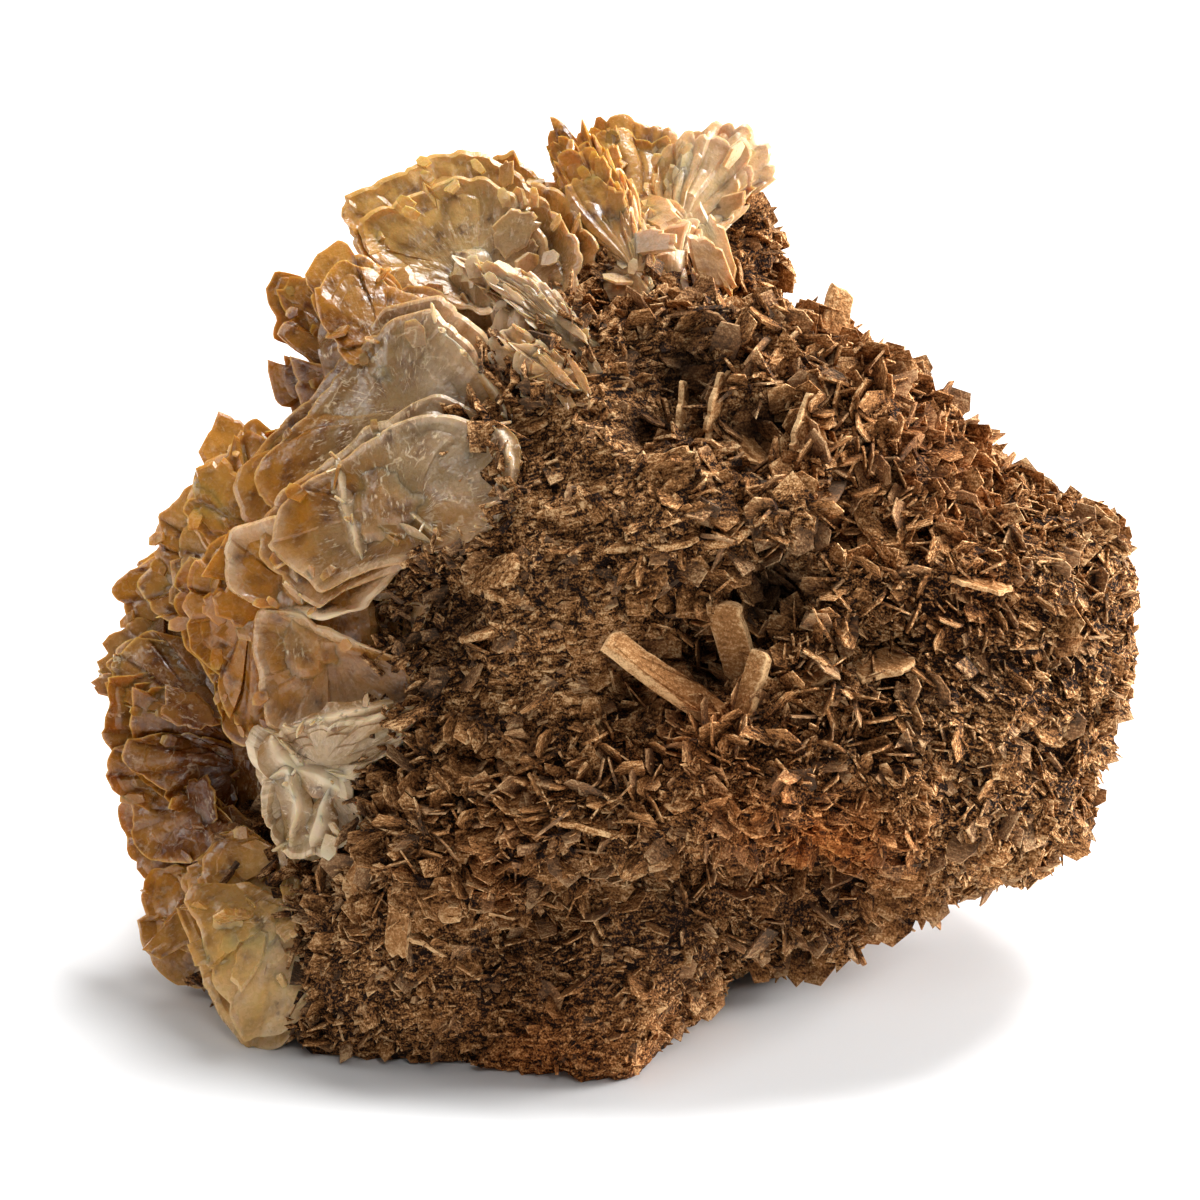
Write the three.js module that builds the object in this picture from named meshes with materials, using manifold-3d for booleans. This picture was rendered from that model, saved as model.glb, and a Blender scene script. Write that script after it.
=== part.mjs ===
// Barite specimen: fans of crested, honey-coloured barite blades grown on a lump of porous brown matrix.
// Units are millimetres. The specimen is laid out as it is seen from the front and a little above: x runs to
// the right, y up the view and z towards the viewer. The layout is then tilted back, so that +Z is up and the
// specimen stands on the plane z = 0.

import * as THREE from 'three';
import { mergeVertices } from 'three/addons/utils/BufferGeometryUtils.js';
import Module from 'manifold-3d';

const wasm = await Module();
wasm.setup();

// Driving dimensions
const VIEW_TILT = THREE.MathUtils.degToRad(22); // how far above the horizon the layout is seen from
const STAND = new THREE.Vector3(1, -24, -11); // from the tilted layout's origin to the middle of the base
const GAP = 0.3; // between two pieces that meet
const BEVEL = 1.8; // width of the slope that sharpens a blade's rim
const FLOOR_BLOCK = 400; // side of the block that trims everything under z = 0

// The brown lump: a closed outline in the layout plane, swept to a front and a back pole
const MATRIX = {
  heart: new THREE.Vector3(20, 61, 0),
  depth: 37, // from the heart to the front and to the back
  squareness: 2.4, // exponent of the sweep: 2 is an ellipse, more is boxier
  detail: 6, // divisions of each edge of the icosahedron
  outline: [
    [73, 66], [71.5, 76.5], [67.5, 79.5], [56, 84], [46.5, 92.5], [39.5, 99], [31.5, 103.5], [17, 108.5],
    [4, 110], [-8, 108], [-22, 104], [-36, 94], [-44, 80], [-48, 62], [-50, 45], [-54, 28], [-58, 12],
    [-52, -2], [-38, -8], [-26, -10], [-12, -14], [-4, -15], [4, -2], [15, 13], [36, 20.5], [48, 26],
    [60.5, 29], [66, 38.5], [70, 50],
  ],
};

// A block of the same rock that stands up behind the top crystals
const BLOCK = { at: [16, 112, -14], radii: [7, 13, 10] };

// Swellings (rise > 0) and hollows (rise < 0) of the lump: where, how high and how wide
const LUMPS = [
  { at: [-22, 38, 30], rise: 6, spread: 11 }, // ledge above the undercut, from left to right
  { at: [0, 38, 36], rise: 6, spread: 12 },
  { at: [20, 42, 37], rise: 7, spread: 13 },
  { at: [42, 36, 30], rise: 7, spread: 13 },
  { at: [-14, 20, 30], rise: -6, spread: 8 }, // undercut below the ledge
  { at: [6, 25, 32], rise: -9, spread: 9 },
  { at: [26, 25, 27], rise: -10, spread: 10 },
  { at: [-2, 8, 29], rise: 4, spread: 11 }, // foot
  { at: [-34, 14, 22], rise: 4, spread: 12 },
  { at: [-54, 14, 18], rise: -8, spread: 9 }, // recesses at the left, where the crystals grow
  { at: [-50, 38, 18], rise: -11, spread: 13 },
  { at: [-46, 58, 19], rise: -11, spread: 14 },
  { at: [-42, 76, 18], rise: -11, spread: 14 },
  { at: [-32, 93, 16], rise: -9, spread: 12 },
  { at: [-16, 104, 10], rise: -6, spread: 9 },
  { at: [12, 94, 26], rise: -10, spread: 6.5 }, // deep hole near the top
  { at: [22, 90, 28], rise: -9, spread: 6 },
  { at: [17, 101, 18], rise: 4, spread: 6 },
  { at: [2, 57, 37], rise: -9, spread: 7 }, // hole behind the long needles
  { at: [13, 60, 37], rise: -10, spread: 6.5 },
  { at: [25, 65, 37], rise: -6, spread: 6 },
  { at: [33, 79, 32], rise: -7, spread: 5.5 },
  { at: [38, 62, 35], rise: -6, spread: 5.5 },
  { at: [-20, 45, 34], rise: -5, spread: 6 },
  { at: [-10, 66, 35], rise: 3.5, spread: 10 }, // swells of the broad face
  { at: [6, 78, 34], rise: 4, spread: 9 },
  { at: [62, 58, 16], rise: 1.5, spread: 12 },
];

// Unevenness of the lump: height and wavelength of each set of ripples
const RIPPLES = [{ height: 1.4, length: 15 }, { height: 0.9, length: 7 }, { height: 0.8, length: 3.1 }];

// Single plates standing in the lump's face: ends of the midline, width, thickness and the way the flat faces
const PLATES = [
  { from: [-2, 61.5, 39], to: [15, 50, 37], width: 4, thick: 2, facing: [0.3, 0.8, 1] },
  { from: [19.5, 60, 39], to: [14.5, 44, 40], width: 3, thick: 1.6, facing: [-0.8, 0, 1] },
  { from: [14, 67, 36], to: [17.5, 55, 33], width: 5, thick: 1.4, facing: [-0.5, 0.1, 1] },
  { from: [21, 59, 38], to: [29, 57, 36], width: 4.5, thick: 1.8, facing: [0, 0.6, 1] },
  { from: [34, 62, 38], to: [39, 55, 36], width: 6, thick: 1.6, facing: [-0.3, 0.7, 1] },
  { from: [33, 83, 30], to: [39, 72, 34], width: 4, thick: 1.6, facing: [0.7, 0.5, 1] },
  { from: [46, 92, 22], to: [45.5, 82, 27], width: 7, thick: 1.4, facing: [0.2, 0.2, 1] },
  { from: [39, 90, 24], to: [41, 80, 30], width: 5, thick: 1.4, facing: [-0.6, 0.2, 1] },
  { from: [50, 84, 24], to: [53, 77, 28], width: 6, thick: 1.4, facing: [0.4, 0.2, 1] },
  { from: [31.5, 111.5, 6], to: [29, 100, 10], width: 4, thick: 2.4, facing: [0.2, 0.1, 1] },
  { from: [5, 90, 28], to: [12, 95, 27], width: 5, thick: 1.4, facing: [-0.4, 1, 0.8] },
  { from: [14, 92, 26], to: [20, 87, 30], width: 6, thick: 1.4, facing: [0.5, 1, 0.6] },
  { from: [27, 95, 24], to: [31, 87, 29], width: 5, thick: 1.4, facing: [1, 0, 0.5] },
  { from: [-24, 36, 35], to: [-21, 25, 30], width: 5, thick: 1.6, facing: [-0.2, 0, 1] },
  { from: [-18.5, 36, 35], to: [-16.5, 26, 32], width: 3, thick: 1.4, facing: [0.5, 0, 1] },
  { from: [-13, 35, 37], to: [-9, 26, 33], width: 3, thick: 1.4, facing: [0.6, 0.2, 1] },
  { from: [-4, 48, 39], to: [0.5, 39, 40], width: 3, thick: 1.4, facing: [0.8, 0.2, 1] },
  { from: [-14, 56, 38], to: [-6, 52.5, 40], width: 5, thick: 2, facing: [0, 1, 0.7] },
  { from: [-24, 70, 33], to: [-16, 67, 37], width: 4, thick: 2, facing: [-0.2, 1, 0.6] },
  { from: [-34, 24, 26], to: [-27, 19, 27], width: 5, thick: 1.4, facing: [0.2, 0.6, 1] },
  { from: [-36, 31, 26], to: [-30, 24, 28], width: 4, thick: 1.4, facing: [0.4, 0.5, 1] },
  { from: [28, 44, 42], to: [34, 37, 40], width: 5, thick: 1.6, facing: [-0.4, 0.5, 1] },
  { from: [42, 48, 38], to: [48, 42, 34], width: 6, thick: 1.6, facing: [0.3, 0.6, 1] },
  { from: [14, 36, 42], to: [20, 33, 43], width: 6, thick: 1.6, facing: [0, 0.9, 0.6] },
];

// Small plates scattered over the whole lump, all standing on edge
const SCATTER = { count: 12, length: [4.5, 6.5], width: [3, 5.5], thick: 1.4, sink: 2.6, seed: 7 };

const HONEY = 0xb9823c;
const GREY_HONEY = 0xa5875f;
const CREAM = 0xcdb48c;
const BROWN = 0x8a6238;

// The crystals that face the viewer. A blade is drawn by its outline in the layout plane. `depth` is how far
// its middle stands towards the viewer, `lean` how much nearer each millimetre to the right and up comes,
// and `thick` its thickness. `root` is the lump that the blades of one cluster grow from: middle and radii.
const CRESTS = [
  {
    name: 'rimmed_blade', colour: GREY_HONEY,
    root: { at: [-31, 79, 21], radii: [10, 10, 11] },
    blades: [
      {
        depth: 27, lean: [0.5, -0.25], thick: 3.6,
        outline: [
          [-51, 73], [-50, 79], [-47.5, 82], [-44, 84.5], [-39.5, 87.5], [-35.5, 91.5], [-32, 93],
          [-26.5, 97], [-23.5, 96.5], [-20.5, 91.5], [-18.5, 84.5], [-23, 77], [-33, 72], [-42, 66],
        ],
      },
      {
        depth: 24, lean: [0.9, 0.5], thick: 3,
        outline: [[-44, 72], [-40, 76], [-31, 78], [-28, 74], [-30, 68], [-35, 64.5], [-41, 66]],
      },
    ],
  },
  {
    name: 'long_blade', colour: GREY_HONEY,
    root: { at: [-30, 94, 13], radii: [10, 10, 11] },
    blades: [
      {
        depth: 19, lean: [0.45, -0.3], thick: 4,
        outline: [
          [-39, 101.5], [-44, 95.5], [-48.5, 91], [-53.5, 85.5], [-54.5, 83], [-53, 78.5], [-46, 76],
          [-31.5, 84], [-20, 92], [-19, 104], [-25, 110], [-33, 108],
        ],
      },
    ],
  },
  {
    name: 'pocket_blades', colour: HONEY,
    root: { at: [-41, 63, 17], radii: [9, 12, 11] },
    blades: [
      {
        depth: 23, lean: [0.45, -0.15], thick: 3.4,
        outline: [
          [-54.5, 77], [-55.5, 73], [-54.5, 68.5], [-49.5, 65.5], [-41.5, 64.5], [-36, 66], [-33, 72],
          [-35, 77], [-40, 79], [-48, 79],
        ],
      },
      {
        depth: 25, lean: [0.5, 0.1], thick: 3.6,
        outline: [
          [-51.5, 63.5], [-50.5, 66], [-44.5, 66], [-42.5, 64], [-37, 61.5], [-32, 58], [-31, 51.5],
          [-38, 48.5], [-46, 48], [-49, 49.5], [-50.5, 55.5],
        ],
      },
      {
        depth: 21, lean: [1.1, 0.4], thick: 3,
        outline: [[-38, 64], [-33, 68], [-29, 67], [-29, 61], [-33, 57], [-38, 59]],
      },
    ],
  },
  {
    name: 'white_rim_blades', colour: CREAM,
    root: { at: [-42, 42, 16], radii: [9, 11, 10] },
    blades: [
      {
        depth: 27, lean: [0.4, 0.3], thick: 3.4,
        outline: [[-49, 49], [-46.5, 45.5], [-45, 43], [-37, 42], [-34, 46], [-32, 52], [-41.5, 50.5]],
      },
      {
        depth: 21, lean: [0.6, 0.2], thick: 3,
        outline: [[-53, 47.5], [-51, 50], [-48, 49], [-44, 44], [-44, 38], [-50, 41]],
      },
      {
        depth: 24, lean: [0.3, 0.25], thick: 3.4,
        outline: [[-49.5, 42], [-45, 44], [-38, 43], [-36, 36], [-41, 31], [-47, 30.5], [-49.5, 36]],
      },
    ],
  },
  {
    name: 'foot_blades', colour: CREAM,
    root: { at: [-50, 20, 6], radii: [9, 11, 11] },
    blades: [
      {
        depth: 16, lean: [0.35, -0.25], thick: 4.5,
        outline: [
          [-62.5, 23.5], [-61, 26], [-53, 26.5], [-50, 24], [-45.5, 20.5], [-44.5, 13], [-43.5, 8.5],
          [-48, 4.5], [-52.5, 3.5], [-55, 7], [-58, 11.5], [-60, 18.5],
        ],
      },
      {
        depth: 11, lean: [0.5, -0.3], thick: 3.6,
        outline: [
          [-61.5, 27.5], [-60, 30.5], [-57, 34.5], [-54, 35.5], [-49, 32.5], [-45.5, 28], [-46, 22],
          [-52, 21], [-60, 24],
        ],
      },
      {
        depth: 3, lean: [0.5, -0.1], thick: 5,
        outline: [
          [-68, 21.5], [-67.5, 26.5], [-66.5, 28.5], [-63.5, 29.5], [-59, 28], [-50, 24], [-50, 14],
          [-58, 12.5], [-63, 12.5], [-65.5, 14.5], [-67.5, 17.5],
        ],
      },
    ],
  },
  {
    name: 'sheaf_blade', colour: CREAM,
    root: { at: [-13, 104, 10], radii: [6, 6, 10] },
    blades: [
      {
        depth: 17, lean: [0.2, -0.4], thick: 3.4,
        outline: [
          [-24, 116], [-19.5, 115], [-12.5, 113], [-8, 109.5], [-4.5, 105], [-9, 101.5], [-14, 105],
          [-21, 112],
        ],
      },
      {
        depth: 19, lean: [0.1, -0.4], thick: 3,
        outline: [[-19.5, 102], [-18, 105.5], [-14, 106.5], [-9, 103.5], [-10, 99], [-17, 98]],
      },
    ],
  },
  {
    name: 'upper_fan', colour: HONEY,
    root: { at: [-34, 101, 6], radii: [9, 9, 12] },
    blades: [
      {
        depth: 12, lean: [0.2, -0.6], thick: 4,
        outline: [
          [-44.5, 113], [-42.5, 115.5], [-39.5, 117.5], [-35, 116], [-30, 111.5], [-25.5, 110],
          [-20.5, 104.5], [-21, 99], [-31, 96], [-38, 100], [-43.5, 107],
        ],
      },
      {
        depth: 2, lean: [0.4, -0.2], thick: 4.5,
        outline: [
          [-50.5, 111.5], [-48.5, 113.5], [-44, 113], [-38, 109], [-34, 100], [-39, 94], [-45, 101.5],
          [-49.5, 104.5], [-48.5, 107], [-50, 109.5],
        ],
      },
      {
        depth: 3, lean: [0.5, 0.2], thick: 4.5,
        outline: [[-50.5, 101.5], [-45.5, 100], [-39, 100], [-35, 92], [-44, 89], [-48.5, 95]],
      },
    ],
  },
  {
    name: 'rough_shoulder', colour: HONEY,
    root: { at: [-49, 70, 5], radii: [9, 14, 13] },
    blades: [
      {
        depth: 13, lean: [0.4, 0.1], thick: 4.5,
        outline: [
          [-60, 73.5], [-54, 77], [-48, 70], [-47, 52], [-53, 47], [-56, 49], [-58, 55.5], [-62, 60.5],
          [-63.5, 67],
        ],
      },
      {
        depth: 8, lean: [0.4, -0.3], thick: 5,
        outline: [
          [-53.5, 92.5], [-51.5, 93], [-46, 90], [-42, 84], [-44, 74], [-56, 73], [-61.5, 81], [-60, 86.5],
          [-57.5, 87.5], [-54.5, 89],
        ],
      },
      {
        depth: 2, lean: [0.6, -0.1], thick: 5,
        outline: [
          [-61, 83.5], [-64, 80], [-66, 79.5], [-66.5, 77.5], [-67.5, 74], [-65, 67], [-58, 61], [-47, 64],
          [-46, 76], [-54, 84],
        ],
      },
      {
        depth: -2, lean: [0.5, -0.3], thick: 5,
        outline: [[-70.5, 72], [-73, 68.5], [-71, 64], [-66, 61.5], [-52, 62], [-52, 72], [-65.5, 74.5]],
      },
    ],
  },
  {
    name: 'left_fans', colour: HONEY,
    root: { at: [-49, 45, -3], radii: [7, 14, 9] },
    blades: [
      {
        depth: 1, lean: [0.35, -0.35], thick: 4.5,
        outline: [
          [-75.5, 58.5], [-73.5, 59.5], [-74.5, 61], [-72.5, 63], [-69, 65], [-65.5, 64], [-60, 63],
          [-52, 57], [-50, 50], [-62, 52], [-71.5, 54.5], [-75, 56.5],
        ],
      },
      {
        depth: 2, lean: [-0.35, 0.3], thick: 5,
        outline: [
          [-73.5, 56], [-73, 52.5], [-74, 49], [-72.5, 45.5], [-66, 42], [-54, 42], [-52, 52], [-65, 56.5],
        ],
      },
      {
        depth: 0, lean: [-0.3, 0.2], thick: 5,
        outline: [
          [-73, 46], [-73.5, 43], [-71.5, 40], [-66, 36.5], [-58, 31], [-51, 34], [-52, 44], [-64, 48],
        ],
      },
      {
        depth: -2, lean: [0.6, 0], thick: 5,
        outline: [
          [-72.5, 37.5], [-72, 41], [-68.5, 42], [-58, 38], [-52, 30], [-62, 27.5], [-67.5, 27.5],
          [-70.5, 30], [-71.5, 32],
        ],
      },
    ],
  },
  {
    name: 'rounded_crest', colour: GREY_HONEY,
    root: { at: [-18, 109, -2], radii: [11, 9, 10] },
    blades: [
      {
        depth: 0, lean: [0.1, -0.5], thick: 4.5,
        outline: [
          [-39.5, 125], [-32, 128.5], [-28, 130.5], [-21.5, 131.5], [-18, 130.5], [-13.5, 127.5],
          [-9.5, 120.5], [-5, 111.5], [-10, 106], [-20, 107], [-28, 110], [-37, 116.5], [-39.5, 121.5],
        ],
      },
      {
        depth: -8, lean: [0, -0.4], thick: 4,
        outline: [
          [-19.5, 130.5], [-15.5, 132], [-14.5, 130], [-11, 127.5], [-7, 127], [-5, 121], [-8, 110],
          [-20, 110], [-24, 124],
        ],
      },
      {
        depth: 3, lean: [0.9, -0.3], thick: 5,
        outline: [
          [-13.5, 127.5], [-9.5, 126], [-6, 122.5], [-3, 117], [-4.5, 109], [-9, 110], [-11.5, 120],
        ],
      },
    ],
  },
  {
    name: 'top_crest', colour: HONEY,
    root: { at: [4, 111, -1], radii: [9, 9, 10] },
    blades: [
      {
        depth: 2, lean: [0.3, -0.35], thick: 4.5,
        outline: [
          [-9, 130.5], [-7.5, 131.5], [-3, 131], [-0.5, 129], [1.5, 125.5], [4, 118], [5, 107], [-3, 108],
          [-5, 118], [-7, 124.5], [-9, 126.5],
        ],
      },
      {
        depth: -6, lean: [0.2, -0.2], thick: 4,
        outline: [
          [-10, 136.5], [-8, 136], [-6.5, 134], [-5.5, 136.5], [-4.5, 134.5], [0, 128], [2, 114], [-4, 112],
          [-8.5, 127], [-11, 133],
        ],
      },
      {
        depth: -10, lean: [0.1, -0.4], thick: 5,
        outline: [
          [-4.5, 136], [-2.5, 137], [1.5, 137.5], [3, 136], [7, 135.5], [9, 133], [11, 126], [9, 112],
          [-1, 112], [-4, 124],
        ],
      },
      {
        depth: -9, lean: [-0.2, -0.3], thick: 6,
        outline: [
          [9, 134.5], [12.5, 136], [15, 136.5], [18, 135.5], [21, 132], [22, 127.5], [19.5, 125.5],
          [16, 121], [8, 116], [4, 124], [5, 130],
        ],
      },
      {
        depth: 1, lean: [0.2, -0.4], thick: 4,
        outline: [[0, 124], [6.5, 124], [11.5, 121.5], [11.5, 116.5], [9, 108], [2, 107]],
      },
    ],
  },
];

// The crystals of the left and back faces: fans of half-round blades. `at` is where the blades meet, `out`
// the way they point, `face` the way their flats look, `reach` their height and `width` the width of a blade.
const FANS = [
  {
    name: 'left_low_fan', at: [-45, 28, -14], out: [-1, -0.1, -0.45], face: [0.1, 1, 0.2],
    reach: 19, width: 30,
  },
  {
    name: 'left_middle_fan', at: [-43, 51, -16], out: [-1, 0.05, -0.4], face: [0.3, 0.2, 1],
    reach: 24, width: 34,
  },
  {
    name: 'left_high_fan', at: [-38, 76, -16], out: [-0.8, 0.4, -0.45], face: [0.2, 1, 0.3],
    reach: 22, width: 34,
  },
  {
    name: 'crown_fan', at: [-16, 98, -18], out: [-0.3, 0.8, -0.5], face: [0.8, 0.5, 0.3],
    reach: 23, width: 38,
  },
  {
    name: 'back_foot_fan', at: [-32, 36, -28], out: [-0.65, -0.1, -0.8], face: [0.2, 1, 0.1],
    reach: 22, width: 36,
  },
  {
    name: 'back_left_fan', at: [-29, 62, -28], out: [-0.7, 0.1, -0.8], face: [1, 0.3, -0.6],
    reach: 22, width: 38,
  },
  {
    name: 'back_crown_fan', at: [6, 92, -28], out: [-0.05, 0.5, -0.9], face: [1, 0.5, 0.2],
    reach: 19, width: 38,
  },
  {
    name: 'back_middle_fan', at: [-10, 76, -33], out: [-0.3, 0.2, -1], face: [0.2, 1, 0.1],
    reach: 20, width: 38,
  },
  {
    name: 'back_low_fan', at: [-8, 46, -35], out: [-0.25, -0.1, -1], face: [1, 0.3, -0.2],
    reach: 19, width: 38,
  },
];
const FAN_BLADE = { blades: 3, spread: 52, thick: 4.6, corners: 6, notch: 0.12 };

// Puts the layout on its base: x stays, the view's up becomes mostly +Z, and towards the viewer mostly -Y.
const standUp = new THREE.Matrix4()
  .makeRotationX(Math.PI / 2 - VIEW_TILT)
  .setPosition(STAND);

// A closed mesh as a solid, in the part's frame.
function solidOf(geometry) {
  const bare = geometry.clone();
  bare.deleteAttribute('normal');
  bare.deleteAttribute('uv');
  bare.applyMatrix4(standUp);
  const merged = mergeVertices(bare, 1e-4);
  return new wasm.Manifold(new wasm.Mesh({
    numProp: 3,
    vertProperties: merged.attributes.position.array,
    triVerts: new Uint32Array(merged.index.array),
  }));
}

// A solid as a mesh geometry with flat faces.
function geometryOf(solid) {
  const mesh = solid.getMesh();
  const position = new Float32Array(mesh.numVert * 3);
  for (let i = 0; i < mesh.numVert; i++) {
    position.set(mesh.vertProperties.subarray(i * mesh.numProp, i * mesh.numProp + 3), i * 3);
  }
  const geometry = new THREE.BufferGeometry();
  geometry.setAttribute('position', new THREE.BufferAttribute(position, 3));
  geometry.setIndex(new THREE.BufferAttribute(mesh.triVerts, 1));
  return geometry;
}

const joined = (solids) => solids.reduce((whole, solid) => whole.add(solid));

// A cut can leave crumbs beside the piece; only the piece is kept.
function largestBody(solid) {
  return solid.decompose().reduce((best, body) => (body.volume() > best.volume() ? body : best));
}

// Repeatable random numbers from 0 to 1.
function randomFrom(seed) {
  let state = seed;
  return () => {
    state = (state * 1664525 + 1013904223) % 4294967296;
    return state / 4294967296;
  };
}

// A smooth uneven value from -1 to 1: two products of crossed sine waves.
function ripple(p, length) {
  const k = (2 * Math.PI) / length;
  return (
    Math.sin(k * (p.x + 0.6 * p.y)) * Math.sin(k * (p.y + 0.5 * p.z) + 1.7)
    + Math.sin(k * (p.z - 0.4 * p.x) + 0.6) * Math.sin(k * (0.8 * p.y - 0.7 * p.x) + 2.9)
  ) / 2;
}

// How far a closed outline reaches from a centre at any angle, linear between the corners on either side.
function outlineReach(outline, centre) {
  const corners = outline
    .map(([x, y]) => new THREE.Vector2(x, y).sub(centre))
    .map((arm) => ({ angle: Math.atan2(arm.y, arm.x), reach: arm.length() }))
    .sort((a, b) => a.angle - b.angle);
  const first = corners[0];
  const last = corners[corners.length - 1];
  const turn = 2 * Math.PI;
  const ring = [
    { ...last, angle: last.angle - turn },
    ...corners,
    { ...first, angle: first.angle + turn },
  ];
  return (angle) => {
    const next = Math.max(1, ring.findIndex((corner) => corner.angle > angle));
    const [a, b] = [ring[next - 1], ring[next]];
    return THREE.MathUtils.lerp(a.reach, b.reach, (angle - a.angle) / (b.angle - a.angle));
  };
}

const matrixReach = outlineReach(MATRIX.outline, MATRIX.heart);

// The point where a ray from the heart leaves the lump, `grow` outside the surface itself.
function matrixPoint(direction, grow) {
  const { heart, depth, squareness } = MATRIX;
  const inPlane = Math.hypot(direction.x, direction.y);
  const side = inPlane / matrixReach(Math.atan2(direction.y, direction.x));
  const front = Math.abs(direction.z) / depth;
  const body = (side ** squareness + front ** squareness) ** (-1 / squareness);
  const smooth = heart.clone().addScaledVector(direction, body);
  let rise = grow;
  for (const lump of LUMPS) {
    const away = smooth.distanceTo(new THREE.Vector3(...lump.at));
    rise += lump.rise * Math.exp(-((away / lump.spread) ** 2));
  }
  for (const { height, length } of RIPPLES) {
    rise += height * ripple(smooth, length);
  }
  return heart.clone().addScaledVector(direction, body + rise);
}

function matrixLump(grow) {
  const geometry = new THREE.IcosahedronGeometry(1, MATRIX.detail);
  const position = geometry.attributes.position;
  const direction = new THREE.Vector3();
  for (let i = 0; i < position.count; i++) {
    direction.fromBufferAttribute(position, i).normalize();
    position.setXYZ(i, ...matrixPoint(direction, grow).toArray());
  }
  return solidOf(geometry);
}

// One straight plate: a flat six-sided bar from end to end of its midline.
function plate({ from, to, width, thick, facing }, grow) {
  const start = new THREE.Vector3(...from);
  const end = new THREE.Vector3(...to);
  const length = start.distanceTo(end);
  const along = end.clone().sub(start).normalize();
  const across = new THREE.Vector3().crossVectors(new THREE.Vector3(...facing), along).normalize();
  const normal = new THREE.Vector3().crossVectors(along, across);
  const half = width / 2 + grow;
  const deep = thick + 2 * grow;
  const point = Math.min(half, length / 4);
  const outline = new THREE.Shape([
    new THREE.Vector2(0, -half * 0.8),
    new THREE.Vector2(length - point, -half),
    new THREE.Vector2(length, -half * 0.2),
    new THREE.Vector2(length - point * 0.4, half),
    new THREE.Vector2(point * 0.5, half),
    new THREE.Vector2(0, half * 0.3),
  ]);
  const geometry = new THREE.ExtrudeGeometry(outline, { depth: deep, bevelEnabled: false });
  geometry.translate(0, 0, -deep / 2);
  geometry.applyMatrix4(new THREE.Matrix4().makeBasis(along, across, normal).setPosition(start));
  return solidOf(geometry);
}

// Evenly spread directions over the whole sphere.
function spiralDirection(index, count) {
  const z = 1 - (2 * (index + 0.5)) / count;
  const angle = index * Math.PI * (3 - Math.sqrt(5));
  const ring = Math.sqrt(1 - z * z);
  return new THREE.Vector3(ring * Math.cos(angle), ring * Math.sin(angle), z);
}

function scatteredPlates() {
  const random = randomFrom(SCATTER.seed);
  const between = ([low, high]) => THREE.MathUtils.lerp(low, high, random());
  return Array.from({ length: SCATTER.count }, (_, i) => {
    const out = spiralDirection(i, SCATTER.count);
    const foot = matrixPoint(out, -SCATTER.sink);
    const sideways = new THREE.Vector3(random() - 0.5, random() - 0.5, random() - 0.5);
    const along = out.clone().addScaledVector(sideways, 2).normalize();
    const tip = foot.clone().addScaledVector(along, between(SCATTER.length));
    return {
      from: tip.toArray(),
      to: foot.toArray(),
      width: between(SCATTER.width),
      thick: SCATTER.thick,
      facing: sideways.cross(out).toArray(),
    };
  });
}

// An ellipsoid with flat facets, from which the blades of a cluster grow.
function rootLump({ at, radii }, grow) {
  const geometry = new THREE.IcosahedronGeometry(1, 0);
  geometry.scale(...radii.map((radius) => radius + grow));
  geometry.translate(...at);
  return solidOf(geometry);
}

// A flat blade in the plane z = 0, sharpened all round: both faces are the outline drawn in by the bevel, and
// they meet in the outline itself. `grow` makes it larger on every side.
function bladePlate(corners, thick, grow) {
  const rim = corners.map(([x, y]) => new THREE.Vector2(x, y));
  if (THREE.ShapeUtils.isClockWise(rim)) rim.reverse();
  const middle = rim.reduce((sum, corner) => sum.add(corner), new THREE.Vector2()).divideScalar(rim.length);
  const ring = (outwards, z) => rim.map((corner) => {
    const arm = corner.clone().sub(middle);
    arm.setLength(arm.length() + outwards).add(middle);
    return new THREE.Vector3(arm.x, arm.y, z);
  });
  const face = thick / 2 + grow;
  const points = [...ring(grow - BEVEL, -face), ...ring(grow, 0), ...ring(grow - BEVEL, face)];
  const count = rim.length;
  const sides = [0, count].flatMap((row) => rim.flatMap((_, i) => {
    const [a, b] = [row + i, row + ((i + 1) % count)];
    return [a, b, b + count, a, b + count, a + count];
  }));
  const cap = THREE.ShapeUtils.triangulateShape(points.slice(0, count), []);
  const faces = cap.flatMap(([a, b, c]) => [c, b, a, a + 2 * count, b + 2 * count, c + 2 * count]);
  return new THREE.BufferGeometry().setFromPoints(points).setIndex([...sides, ...faces]);
}

// A blade drawn in the layout plane, sheared so that it leans without changing the outline as seen.
function drawnBlade({ outline, depth, lean, thick }, grow) {
  const middleX = outline.reduce((sum, [x]) => sum + x, 0) / outline.length;
  const middleY = outline.reduce((sum, [, y]) => sum + y, 0) / outline.length;
  const slant = Math.hypot(1, ...lean);
  const geometry = bladePlate(outline, thick, grow);
  geometry.applyMatrix4(new THREE.Matrix4().set(
    1, 0, 0, 0,
    0, 1, 0, 0,
    lean[0], lean[1], slant, depth - lean[0] * middleX - lean[1] * middleY,
    0, 0, 0, 1,
  ));
  return solidOf(geometry);
}

// One half-round blade of a fan: from the root at the origin along +Y, with a notched crest.
function crestOutline(reach, width) {
  const { corners, notch } = FAN_BLADE;
  const crest = Array.from({ length: corners }, (_, i) => {
    const angle = Math.PI * (i / (corners - 1));
    const size = 1 - notch * (i % 2);
    return [(width / 2) * Math.cos(angle) * size, reach * (0.35 + 0.65 * Math.sin(angle)) * size];
  });
  return [[-width / 5, -reach / 5], [width / 5, -reach / 5], ...crest];
}

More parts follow.
